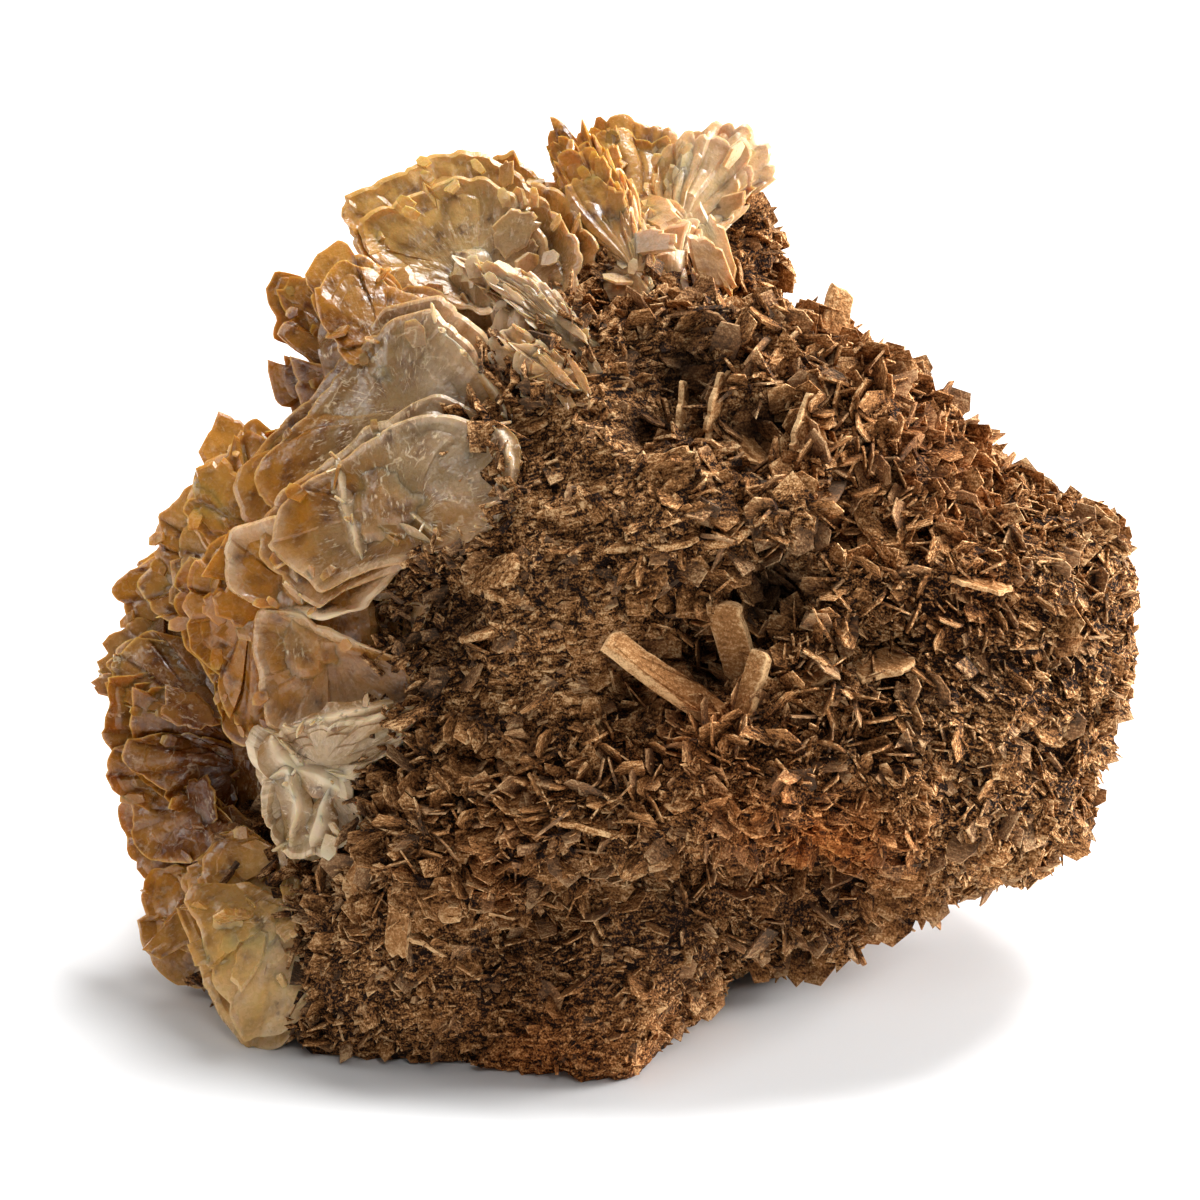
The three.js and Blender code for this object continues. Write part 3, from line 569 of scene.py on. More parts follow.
def blockSurface(directions):
    # An ellipsoid raised by crags and soft noise.
    smooth = np.array(lump["block"]["at"]) + directions * lump["block"]["radii"]
    crags = cragsAt(smooth)
    return smooth + directions * (crags + 1.2 * softNoise(smooth, 7, 6))[..., None], crags


def overLump(points):
    # The lump's surface on the rays from its heart through the points, and how far over it the points lie.
    arms = points - np.array(lump["heart"])
    surface, _ = lumpSurface(unit(arms))
    return surface, np.linalg.norm(arms, axis=-1) - np.linalg.norm(surface - lump["heart"], axis=-1)


def ballDirections(rings, around):
    # Rings from the top pole of the layout to the bottom one, with the two poles last.
    polar = np.pi * (np.arange(rings) + 1) / (rings + 1)
    turn = 2 * np.pi * np.arange(around) / around
    polar, turn = np.meshgrid(polar, turn, indexing="ij")
    balls = np.stack([np.sin(polar) * np.sin(turn), np.cos(polar), np.sin(polar) * np.cos(turn)], -1)
    return np.concatenate([balls.reshape(-1, 3), [[0, 1, 0], [0, -1, 0]]])


def placedHeight(points):
    # Height over the floor in mm, before anything is kept above it.
    points = np.asarray(points, float)
    rise, run = math.sin(layout["tilt"]), math.cos(layout["tilt"])
    return points[..., 1] * run + points[..., 2] * rise + layout["stand"][2] - layout["lowest"]


def cutAtFloor(points, heart):
    # A point under the floor slides back along its ray from the heart until it stands on the floor.
    heart = np.asarray(heart, float)
    height = placedHeight(points)
    inner = placedHeight(heart)
    share = np.where(height < 0, inner / np.maximum(inner - height, 1e-6), 1)
    return heart + (points - heart) * share[..., None]


# the rust patches are real stains, and the shade patches are painted shade in the pits and under the ledges
# of the lump
stainsAndPaintedShade = {  # place, spread and amount
    "rust": [
        ((22, 34, 38), 10, 0.9), ((33, 31, 34), 8, 0.8), ((4, -2, 26), 14, 0.35), ((-16, 30, 33), 6, 0.5),
        ((-8, -4, 24), 9, 0.8), ((-14, 6, 26), 10, 0.5), ((44, 88, 22), 10, 0.45), ((10, 50, 38), 9, 0.4),
        ((48, 66, 24), 8, 0.4), ((40, 20, -20), 14, 0.5),
    ],
    # painted shade: darkening patches in the pits and undercuts
    "shade": [
        ((6, 25, 30), 9, 0.3), ((26, 25, 27), 10, 0.25), ((-14, 20, 29), 8, 0.25), ((9, 99.5, 24), 4.5, 1),
        ((19, 91, 26), 4, 1), ((11, 91, 26), 3.5, 0.9), ((3, 91, 27), 3, 0.9), ((-8, 8, 26), 12, 0.1),
        ((-50, 38, 8), 20, 0.35), ((-46, 70, 8), 20, 0.3), ((2, 53, 33), 5, 0.5), ((12, 57, 32), 4.5, 0.8),
        ((21, 69, 32), 5, 1), ((41, 86, 26), 3.5, 0.7), ((-9, 70, 34), 3, 0.6), ((-21, 66, 34), 3, 0.6),
        ((49, 58, 30), 4, 0.4), ((34, 57, 34), 3.5, 0.6), ((58, 70, 20), 4, 0.35), ((30, 47, 38), 4, 0.4),
        ((-24, 62, 32), 4, 0.5),
    ],
}


def patchSum(points, patches):
    # Bell-shaped patches added together, at most one, twice as deep as they are wide.
    total = np.zeros(points.shape[:-1])
    for at, spread, amount in patches:
        away = np.linalg.norm((points - np.array(at)) * (1, 1, 0.5), axis=-1)
        total += amount * np.exp(-((away / spread) ** 2))
    return np.clip(total, 0, 1)


def groundTip(points, crags):
    # The ground is as bright as its zone says, with painted light on the crags and painted shade in the pits.
    return np.clip(zoneValue(zoneWeights(points), "base") + 0.14 * crags, 0.02, 0.7)


def lumpShells():
    rings, around = lump["rings"], lump["around"]
    points, crags = lumpSurface(ballDirections(rings, around))
    points = cutAtFloor(points, lump["heart"])
    values = rockValues(points, groundTip(points, crags), 0.3 + 0.3 * softNoise(points, 6, 2))
    main = {"points": points, "faces": shellFaces(rings, around), "values": values}
    rings, around = lump["block"]["rings"], lump["block"]["around"]
    points, crags = blockSurface(ballDirections(rings, around))
    values = rockValues(points, groundTip(points, crags), 0.3)
    return [main, {"points": points, "faces": shellFaces(rings, around), "values": values}]


def rockValues(points, tip, tone, clean=0.0):
    return {
        "tip": tip,
        "clean": clean,
        "tone": np.clip(tone, 0, 1),
        "stain": patchSum(points, stainsAndPaintedShade["rust"]),
        "shade": patchSum(points, stainsAndPaintedShade["shade"]),
        "slant": zoneValue(zoneWeights(points), "slant"),
    }


triangles = addPiece("matrix_rock", lumpShells(), rockMaterial, ["matrix"], sharp=1.2)


# the flakes of the lump: a great many small blades on edge

flakes = {
    "tries": 90000,
    "rosettes": 500,
    "seed": 11,
    "back": {"depth": -6, "cover": 0.35},  # how thinly the hidden side is covered, and where it starts
    # the brightness at the foot is painted shade between the flakes, and its rise is painted light towards
    # the tip
    "sets": [  # how many, scale, how deep the foot lies, corners, brightness at the foot and its rise
        {"name": "shards", "count": 8500, "scale": 1.1, "sink": 0.3, "corners": "three",
         "low": 0.08, "rise": 0.80, "clean": 0.0},
        {"name": "fine_flakes", "count": 7200, "scale": 1.15, "sink": 0.35, "corners": "four",
         "low": 0.06, "rise": 0.80, "clean": 0.1},
        {"name": "large_flakes", "count": 3600, "scale": 2.1, "sink": 0.8, "corners": "six",
         "low": 0.10, "rise": 0.66, "clean": 0.35},
    ],
    "corners": {
        "three": [(-0.45, -0.40), (0.45, -0.40), (0.10, 1.0)],
        "four": [(-0.46, -0.45), (0.46, -0.45), (0.44, 0.80), (-0.38, 1.0)],
        "six": [(-0.34, -0.40), (0.34, -0.40), (0.52, 0.35), (0.34, 0.92), (-0.22, 1.0), (-0.52, 0.45)],
    },
}


def spiralDirections(count):
    z = 1 - (2 * np.arange(count) + 1) / count
    turn = np.arange(count) * np.pi * (3 - math.sqrt(5))
    ring = np.sqrt(1 - z * z)
    return np.stack([ring * np.cos(turn), ring * np.sin(turn), z], -1)


def lumpFrames(directions):
    # Points of the lump and the way out of it, from two short steps aside.
    aside = unit(np.cross(directions, [0.31, 0.87, 0.39]))
    other = np.cross(directions, aside)
    points, crags = lumpSurface(directions)
    first, _ = lumpSurface(unit(directions + 0.02 * aside))
    second, _ = lumpSurface(unit(directions + 0.02 * other))
    outwards = unit(np.cross(first - points, second - points))
    outwards *= np.sign(np.sum(outwards * directions, -1, keepdims=True))
    return points, outwards, crags


def blockFrames(count, random):
    # Points spread over the block behind the top crystals.
    directions = unit(random.normal(size=(count, 3)))
    points, crags = blockSurface(directions)
    return points, unit(directions / np.array(lump["block"]["radii"])), crags


def plateBatch(foot, out, facing, height, width, thick, shape, tone):
    # Flat plates given by a list of corners: each corner is a share of the width across and of the height up.
    # The thickness shrinks with the height, and both flat sides have the same corners.
    across = unit(np.cross(out, facing))
    normal = np.cross(across, out)
    corners = shape.shape[1]
    middle = (
        foot[:, None]
        + across[:, None] * (shape[..., 0] * width[:, None])[..., None]
        + out[:, None] * (shape[..., 1] * height[:, None])[..., None]
    )
    tip = np.clip(shape[..., 1], 0, 1)
    deep = (thick[:, None] / 2 * (1 - 0.62 * tip))[..., None] * normal[:, None]
    points = np.stack([middle + deep, middle - deep], 1)  # plate, side, corner, axis
    start = (np.arange(len(foot)) * corners * 2)[:, None]
    here = np.arange(corners)
    there = (here + 1) % corners
    sides = start[:, None] + np.stack([corners + here, corners + there, there, here], -1)[None]
    return {
        "per": 2 * corners,
        "points": points.reshape(-1, 3),
        "faces": [start + here, start + 2 * corners - 1 - here, sides.reshape(-1, 4)],
        "tip": np.tile(tip, 2).reshape(-1),
        "tone": np.repeat(tone, corners * 2),
    }


def roughShape(corners, count, jitter, random):
    # The same corners for every plate, each moved a little.
    base = np.array(flakes["corners"][corners])
    return base[None] + random.uniform(-jitter, jitter, (count, len(base), 2))


def flakeSet(points, outwards, kind, random):
    # A flake stands up from the surface, leans over square to its grain and is as wide as the zone says. The
    # grain is the zone's, the way out of the nearest rosette, or random.
    count = len(points)
    weights = zoneWeights(points)
    centres = points[random.choice(count, min(flakes["rosettes"], count), replace=False)]
    nearest = np.empty(count, int)
    for start in range(0, count, 4000):
        part = points[start:start + 4000]
        nearest[start:start + 4000] = np.argmin(((part[:, None] - centres[None]) ** 2).sum(-1), axis=1)
    petal = points - centres[nearest] + 0.3 * random.normal(size=points.shape)
    ordered = zoneValue(weights, "grain") + 0.35 * random.normal(size=points.shape)
    ordered += 0.5 * noiseVectors(points, 9, (21, 22, 23))
    loose = random.normal(size=points.shape)
    draw = random.random(count)
    order = zoneValue(weights, "order")
    grain = np.where((draw < order)[:, None], ordered, np.where((draw < order + 0.25)[:, None], petal, loose))
    grain = unit(grain - outwards * np.sum(grain * outwards, -1, keepdims=True))
    lie = np.clip(zoneValue(weights, "lie") + random.normal(0, 0.2, count), 0, 1)[:, None]
    out = unit(outwards * (1.05 - lie) + np.cross(grain, outwards) * (0.3 + 0.9 * lie))
    facing = np.cross(grain, out) + 0.2 * random.normal(size=points.shape)
    grow = np.exp(random.normal(0, 0.42, count)) * kind["scale"]
    height = np.minimum(zoneValue(weights, "height") * grow, 5.5)
    width = np.minimum(zoneValue(weights, "width") * grow * random.uniform(0.6, 1.5, count), 4.5)
    thick = zoneValue(weights, "thick") * np.clip(grow, 0.6, 1.5) * random.uniform(0.7, 1.3, count)
    shape = roughShape(kind["corners"], count, 0.09, random)
    foot = points - outwards * kind["sink"]
    return plateBatch(foot, out, facing, height, width, thick, shape, random.random(count))


def keptInside(batch):
    # The closed plates of a batch that keep clear of the floor and inside the CAD box, numbered again.
    per = batch["per"]
    stood = placed(batch["points"])
    inside = np.all((stood > cadLow - 0.0003) & (stood < cadHigh + 0.0003), axis=-1)
    kept = np.all((inside & (placedHeight(batch["points"]) > 0.1)).reshape(-1, per), axis=1)
    shift = (np.nonzero(kept)[0] - np.arange(kept.sum())) * per
    faces = []
    for group in batch["faces"]:
        own = group.reshape(len(kept), -1, group.shape[1])[kept]
        faces.append((own - shift[:, None, None]).reshape(-1, group.shape[1]))
    one = np.repeat(kept, per)
    values = {name: value[one] for name, value in batch.items() if name not in ("per", "faces")}
    return {**values, "faces": faces}


def rockFlakes():
    random = np.random.default_rng(flakes["seed"])
    directions = spiralDirections(flakes["tries"])
    points, outwards, _ = lumpFrames(directions)
    weights = zoneWeights(points)
    area = np.sum((points - lump["heart"]) ** 2, -1) / np.maximum(np.sum(outwards * directions, -1), 0.25)
    wanted = area / (zoneValue(weights, "width") * zoneValue(weights, "height")) ** 0.5
    wanted *= np.where(points[:, 2] < flakes["back"]["depth"], flakes["back"]["cover"], 1.0)
    # fewer flakes where shade is painted, so those pits stay dark
    wanted *= zoneValue(weights, "cover") * (1 - 0.8 * patchSum(points, stainsAndPaintedShade["shade"]))
    made = 0
    for kind in flakes["sets"]:
        large = kind["corners"] == "six"
        chance = wanted * (zoneValue(weights, "plates") if large else 1.0)
        picked = random.choice(len(points), kind["count"], replace=False, p=chance / chance.sum())
        extra, extraOut, _ = blockFrames(kind["count"] // (60 if large else 22), random)
        at = np.concatenate([points[picked], extra])
        out = np.concatenate([outwards[picked], extraOut])
        batch = keptInside(flakeSet(at, out, kind, random))
        # painted shade at the foot of each flake, rising to painted light at its tip
        bright = kind["low"] + (kind["rise"] + 0.25 * (batch["tone"] - 0.5)) * batch["tip"]
        batch["values"] = rockValues(batch["points"], bright, batch["tone"], kind["clean"])
        made += addPiece(kind["name"], [batch], rockMaterial, ["matrix"], smooth=False)
    return made


triangles += rockFlakes()
print("flakes ready,", triangles, "triangles so far")


# leaves: thin blades with a jagged crest, from which every crystal and every large plate is made

bladeLook = {  # what a blade has unless its own look says otherwise, in mm or as shares
    "layers": 3,  # leaves in its stack
    "loose": 1.0,  # how far apart the leaves lie, in thicknesses
    "drawnIn": (0.80, 0.94),  # size of the leaves beside the main one
    "full": True,  # whether the front leaves have all four terraces
    "spacing": 0.65,  # between points of the rim
    "rounding": 0.6,
    "cell": 3.2,  # width of a sub-crystal along the rim
    "uneven": 0.5,  # how unequally the sub-crystals reach out
    "notch": 0.8,
    "tooth": 1.5,
    "bite": 0.22,
    "rim": 0.22,  # half the thickness of the rim
    "bevel": 0.5,
    "wobble": 1.1,
    "bend": 1.3,
    "dish": 0,
    "ribs": 0.6,
    "lumps": 0.35,
    "creases": 0.2,
    "terrace": 0.45,
    "groove": 0.35,
    "lip": 0,
    "edgeWidth": 0.5,
    "rimWidth": 6.0,
    "petalEvery": 5.0,  # one petal for so much of the rim
    "petalSize": 6.0,
    "petalWide": 1.0,
    "petalBack": 1.5,  # how far it may lie behind the rim, in sizes
    "petalLift": 0.32,
    "petalWay": (0, 0, 0),  # added to the way it points
    "fray": 0.3,
    "tilt": 0.12,
    "crystalEvery": 6.0,
    "crystalSize": 1.8,
    "rimHoney": 0.45,  # how much more honey-coloured the rim is
    "frost": 0,
    "lipFrost": 0,
    "dark": 0.0,
    "cracks": 0.55,  # how dark the cracks are
}


def lengthsAlong(points):
    return np.concatenate([[0], np.cumsum(np.linalg.norm(np.diff(points, axis=0), axis=1))])


def pointsAt(s, along, points):
    # Linear between the points of a path, at the lengths s along it.
    return np.stack([np.interp(s, along, column) for column in points.T], 1)


def movingMean(padded, reach):
    # Each point averaged with so many on either side, which uses up the padding.
    kernel = np.ones(2 * reach + 1) / (2 * reach + 1)
    return np.stack([np.convolve(column, kernel, "valid") for column in padded.T], 1)


def rounded(outline, spacing, rounding):
    # Points evenly spaced along the closed outline, averaged with their neighbours so that corners soften.
    corners = np.array(list(outline) + [outline[0]], float)
    if np.sum(corners[:-1, 0] * corners[1:, 1] - corners[1:, 0] * corners[:-1, 1]) < 0:
        corners = corners[::-1]
    along = lengthsAlong(corners)
    count = int(np.clip(along[-1] / spacing, 30, 200))
    s = np.arange(count) * along[-1] / count
    ring = pointsAt(s, along, corners)
    reach = int(rounding / (along[-1] / count))
    if reach < 1:
        return ring, s
    return movingMean(np.concatenate([ring[-reach:], ring, ring[:reach]]), reach), s


def combCells(s, whole, look, random):
    # Sub-crystals side by side along the rim: the number of each rim point's own one, its place in it from 0
    # to 1, and how far the nearest crack between two of them is.
    count = max(4, int(whole / look["cell"]))
    start = np.sort((np.arange(count) + random.uniform(-0.38, 0.38, count)) * whole / count)
    cell = (np.searchsorted(start, s, side="right") - 1) % count
    width = (np.roll(start, -1) - start) % whole
    inside = (s - start[cell]) % whole
    return cell, inside / width[cell], np.minimum(inside, width[cell] - inside)


def combRim(ring, pole, s, look, random):
    # Each sub-crystal reaches out as far as it likes and comes to a blunt point, with a notch on either side.
    # Small saw teeth are added to that.
    whole = s[-1] + s[1]
    cell, place, crack = combCells(s, whole, look, random)
    count = cell.max() + 1
    reach = random.uniform(-1, 1, count)[cell] * look["uneven"]
    peak = random.uniform(0.25, 0.75, count)[cell]
    slope = np.where(place < peak, place / peak, (1 - place) / (1 - peak))
    push = reach + look["notch"] * (np.minimum(slope, 0.62) / 0.62 - 0.7)
    teeth = max(5, int(whole / look["tooth"]))
    at = (np.arange(teeth) + random.uniform(-0.3, 0.3, teeth)) * whole / teeth
    push += np.interp(s, at, look["bite"] * random.uniform(-1, 1, teeth), period=whole)
    arms = ring - pole
    return ring + unit(arms) * push[:, None], cell, place, crack


def leafShell(outline, origin, axes, thick, look, seed, root=(0, 0), full=True):
    # Rings run from a pole near the root over the front to the rim, over the flat rim and back to the pole.
    # Every sub-crystal is a wedge of the face with a height and a slope of its own. It steps down towards the
    # rim in terraces, where two rings lie close together, and sinks at the cracks on either side of it.
    random = np.random.default_rng(3000 + seed)
    ring, s = rounded(outline, look["spacing"], look["rounding"])
    middle = ring.mean(0)
    back = np.array(root, float) - middle
    toward = (ring - middle) @ unit(back)
    pole = middle + back * min(0.62, 0.62 * toward.max() / max(np.linalg.norm(back), 0.1))
    ring, cell, place, crack = combRim(ring, pole, s, look, random)
    around, count = len(ring), cell.max() + 1
    terraces = [(0.40, 0.45), (0.60, 0.64), (0.76, 0.79), (0.88, 0.91)]
    if not full:
        terraces = [(0.62, 0.67), (0.85, 0.88)]
    front = np.array([0.18, *np.ravel(terraces), 0.965, 1.0])
    share = np.concatenate([front, [1.0, 0.86, 0.5, 0.2]])[:, None]
    bow = 1 + 0.22 * random.uniform(-1, 1, count)[cell]
    warped = np.where(share < 1, share ** bow, 1.0)
    flat = pole + (ring - pole)[None] * warped[..., None]
    gap = (1 - warped) * np.linalg.norm(ring - pole, axis=1)[None]  # distance to the rim
    spot = np.concatenate([flat, np.full(flat.shape[:2] + (1,), 9.1 * seed)], -1)
    wobble = noiseVectors(spot, 6, (seed + 50, seed + 51))
    flat = flat + look["wobble"] * wobble * (4 * warped * (1 - warped))[..., None]
    half = look["rim"] + (thick / 2 - look["rim"]) * (1 - np.exp(-gap / look["bevel"]))
    sway = look["bend"] * softNoise(spot, 16, seed + 6) - look["dish"] * (1 - warped ** 2)
    ribs = random.uniform(-0.5, 0.5, count)[cell] + random.uniform(-0.8, 0.8, count)[cell] * (place - 0.5)
    ribs = look["ribs"] * ribs * smoothStep(0.05, 0.7, warped)
    split = np.exp(-((crack / 0.45) ** 2)) * smoothStep(0.15, 0.8, warped)
    inner = 1 - np.exp(-gap / 1.2)
    waves = inner * look["lumps"] * softNoise(spot, 5.5, seed + 20)
    waves += inner * look["creases"] * ridgeNoise(spot, 3.0, seed + 21)
    steps = np.zeros(warped.shape)
    for start, end in terraces:
        drop = look["terrace"] * np.clip(random.uniform(-0.5, 1.2, count), 0, 1)[cell]
        steps -= drop * smoothStep(start, end, share) * (share < 1)
    turned = np.arange(len(share)) > len(front) - 1
    face = half + ribs + waves + inner * steps - look["groove"] * split * inner
    lip = np.exp(-(((gap - 0.6) / 1.1) ** 2)) * (0.65 + 0.5 * softNoise(spot, 4, seed + 30))
    face += look["lip"] * lip
    heights = sway + np.where(turned[:, None], -half + 0.5 * ribs, face)
    rise = [heights[0].mean(), heights[-1].mean()]
    local = np.concatenate([flat.reshape(-1, 2), np.repeat(pole[None], 2, 0)])
    local = np.concatenate([local, np.concatenate([heights.ravel(), rise])[:, None]], 1)
    axes = np.array(axes, float)
    points = np.array(origin) + local @ axes
    arms = local[:, :2] - np.array(root, float)
    aim = middle - np.array(root, float)
    turn = np.arctan2(arms[:, 1] * aim[0] - arms[:, 0] * aim[1], arms @ aim)
    last = (len(front) - 1) * around
    own = random.uniform(-1, 1, count)[cell] * smoothStep(0.1, 0.6, warped)
    return {
        "points": points,
        "faces": shellFaces(len(share), around),
        "edge": np.append(np.exp(-gap / look["edgeWidth"]).ravel(), [0, 0]),
        "warm": np.append(np.exp(-gap / look["rimWidth"]).ravel(), [0, 0]),
        "crack": np.append(np.where(turned[:, None], 0.0, split).ravel(), [0, 0]),
        "own": np.append(own.ravel(), [0, 0]),
        "lip": np.append(lip.ravel(), [0, 0]),
        "turn": 14 * turn,
        "reach": np.linalg.norm(arms, axis=1),
        "rim": {
            "points": points[last:last + around],
            "out": unit((ring - pole) @ axes[:2]),
            "step": s[1],
        },
        "normal": unit(np.cross(axes[0], axes[1])),
        "thick": thick,
    }


# the largest single plates of the lump

plates = {
    "look": {**bladeLook, "spacing": 0.8, "rounding": 0, "bevel": 0.1, "rim": 0.28, "cell": 3.0,
             "uneven": 0.6, "notch": 0.5, "bite": 0.2, "lumps": 0.15, "creases": 0.15, "bend": 0.7,
             "ribs": 0.35, "terrace": 0.3, "groove": 0.15},
    "straight": {**bladeLook, "spacing": 0.8, "rounding": 0, "bevel": 0.1, "rim": 0.6, "cell": 6.0,
                 "uneven": 0.25, "notch": 0.2, "bite": 0.15, "lumps": 0.25, "bend": 0.4, "ribs": 0.3,
                 "terrace": 0.3, "groove": 0.1},
    "whole": 4,  # so many lie free and straight, and the ends of the others are put on the lump's surface
    "open": 22,  # so many are as wide as listed, and the others are narrower, darker and turned a little
    "sunk": 0.9,
    "lift": {"open": 1.4, "other": 0.5},
    "narrow": 0.8,
    "thin": 0.55,
    "turned": 0.35,
    "bright": {"open": 0.68, "other": 0.52},
    "clean": {"open": 0.6, "other": 0.3},
    "each": [  # ends of the midline, width, thickness and the way the flat faces
        ((-2, 61.5, 39), (15, 50, 37), 4, 2, (0.3, 0.8, 1)),
        ((19.5, 60, 39), (14.5, 44, 40), 3, 1.6, (-0.8, 0, 1)),
        ((14, 67, 36), (17.5, 55, 33), 5, 1.4, (-0.5, 0.1, 1)),
        ((31.5, 111.5, 6), (29, 100, 10), 4, 2.4, (0.2, 0.1, 1)),
        ((44, 70, 30), (50, 68, 28), 5, 1.4, (0.2, 1, 0.5)),
        ((36, 74, 32), (42, 76, 30), 5, 1.4, (0.1, 1, 0.6)),
        ((33.5, 57, 38.5), (42, 59, 36), 7, 2.2, (-0.1, 1, 0.6)),
        ((21, 59, 39), (30, 57, 38), 6, 2.4, (0, 0.7, 1)),
        ((-24, 36, 35), (-21, 25, 30), 5, 1.6, (-0.2, 0, 1)),
        ((-18.5, 36, 35), (-16.5, 26, 32), 3, 1.4, (0.5, 0, 1)),
        ((-13, 35, 37), (-9, 26, 33), 3, 1.4, (0.6, 0.2, 1)),
        ((6, 92, 28), (8, 102, 24), 7, 1.6, (1, 0.1, 0.2)),
        ((13, 89, 28), (16, 98, 25), 7, 1.6, (1, 0.2, 0.4)),
        ((16, 100, 24), (24, 97, 24), 6, 1.6, (0.2, 1, 0.3)),
        ((24, 86, 29), (27, 95, 25), 6, 1.6, (1, 0.1, 0.3)),
        ((27, 95, 24), (31, 87, 29), 5, 1.4, (1, 0, 0.5)),
        ((14, 92, 26), (20, 87, 30), 6, 1.4, (0.5, 1, 0.6)),
        ((-30, 33, 33), (-26, 22, 28), 3.4, 1.4, (-0.5, 0.1, 1)),
        ((-33.5, 34, 31), (-37, 27, 27), 3, 1.2, (-0.4, 0.5, 1)),
        ((-27, 43, 34), (-17, 40, 36), 3.4, 1.2, (0.1, 1, 0.5)),
        ((-28, 27, 32), (-14, 22, 31), 3.4, 1.2, (0.1, 1, 0.6)),
        ((-30, 22, 30), (-18, 16, 29), 3, 1.2, (0.1, 1, 0.6)),
        ((33, 83, 30), (39, 72, 34), 4, 1.6, (0.7, 0.5, 1)),
        ((46, 92, 22), (45.5, 82, 27), 7, 1.4, (0.2, 0.2, 1)),
        ((39, 90, 24), (41, 80, 30), 5, 1.4, (-0.6, 0.2, 1)),
        ((50, 84, 24), (53, 77, 28), 6, 1.4, (0.4, 0.2, 1)),
        ((5, 90, 28), (12, 95, 27), 5, 1.4, (-0.4, 1, 0.8)),
        ((-4, 48, 39), (0.5, 39, 40), 3, 1.4, (0.8, 0.2, 1)),
        ((-14, 56, 38), (-6, 52.5, 40), 5, 2, (0, 1, 0.7)),
        ((-24, 70, 33), (-16, 67, 37), 4, 2, (-0.2, 1, 0.6)),
        ((-34, 24, 26), (-27, 19, 27), 5, 1.4, (0.2, 0.6, 1)),
        ((-36, 31, 26), (-30, 24, 28), 4, 1.4, (0.4, 0.5, 1)),
        ((28, 44, 42), (34, 37, 40), 5, 1.6, (-0.4, 0.5, 1)),
        ((42, 48, 38), (48, 42, 34), 6, 1.6, (0.3, 0.6, 1)),
        ((14, 36, 42), (20, 33, 43), 6, 1.6, (0, 0.9, 0.6)),
        ((-24.5, 70.5, 34), (-14, 71.5, 36), 6, 2.4, (0.1, 1, 0.5)),
        ((-8.5, 83.5, 33), (-1, 85, 34), 7, 2.4, (0, 1, 0.8)),
        ((-2, 75.5, 37), (10.5, 75, 37), 6, 2.4, (0.1, 1, 0.5)),
        ((11, 75.5, 36), (17.5, 77, 36), 6, 2.4, (-0.1, 1, 0.6)),
        ((2.5, 83.5, 34), (11.5, 85, 34), 6, 2.4, (0.1, 0.6, 1)),
        ((-24.5, 62, 34), (-16, 63, 36), 6, 2, (0.1, 1, 0.5)),
        ((-12, 79.5, 34), (-5, 79, 35), 5, 2, (0.2, 1, 0.5)),
        ((-18, 92, 26), (-11, 93, 28), 5, 2, (0.2, 1, 0.6)),
        ((41, 92, 22), (43, 98, 18), 6, 1.4, (0.8, 0.3, 0.6)),
        ((48, 88, 22), (51, 82, 23), 6, 1.4, (0.7, 0.2, 0.8)),
        ((-6, 40, 36), (2, 36, 38), 5, 1.6, (0.2, 0.9, 0.6)),
        ((-22, 47, 34), (-14, 45, 36), 5, 1.6, (0.1, 1, 0.6)),
    ],
}


def seated(point, lift):
    # The point of the lump's surface on the ray from the heart, moved out by the lift.
    ray = unit(np.subtract(point, lump["heart"]).astype(float))
    surface, _ = lumpSurface(ray[None])
    return surface[0] + ray * lift


def plateShells():
    # Each plate is a leaf with an uneven six-sided outline, laid from end to end of its midline.
    shells = []
    random = np.random.default_rng(31)
    for index, (start, end, width, thick, facing) in enumerate(plates["each"]):
        whole = index < plates["whole"]
        kind = "open" if index < plates["open"] else "other"
        if not whole:
            start, end = seated(start, -plates["sunk"]), seated(end, plates["lift"][kind])
            thick = thick * plates["thin"]
        if kind == "other":
            width = width * plates["narrow"]
            facing = np.add(facing, plates["turned"] * random.normal(size=3))
        along = np.subtract(end, start).astype(float)
        length = np.linalg.norm(along)
        along = along / length
        across = unit(np.cross(facing, along))
        half = width / 2
        point = min(half, length / 4)
        outline = [
            (0, -half * 0.8), (length - point, -half), (length, -half * 0.2), (length - point * 0.4, half),
            (point * 0.5, half), (0, half * 0.3),
        ]
        axes = (along, across, np.cross(along, across))
        look = plates["straight" if whole else "look"]
        leaf = leafShell(outline, start, axes, thick, look, 40 + index, full=False)
        # brighter towards the rim: painted light, as on the tips of the flakes
        tip = plates["bright"][kind] + 0.25 * leaf["edge"]
        leaf["values"] = rockValues(leaf["points"], tip, (index * 0.37) % 1 * 0.6, plates["clean"][kind])
        # the painted shade is weaker on the plates
        leaf["values"]["shade"] = leaf["values"]["shade"] * 0.3
        shells.append(leaf)
    return shells


triangles += addPiece("long_plates", plateShells(), rockMaterial, ["matrix"], sharp=0.6)


# crystals

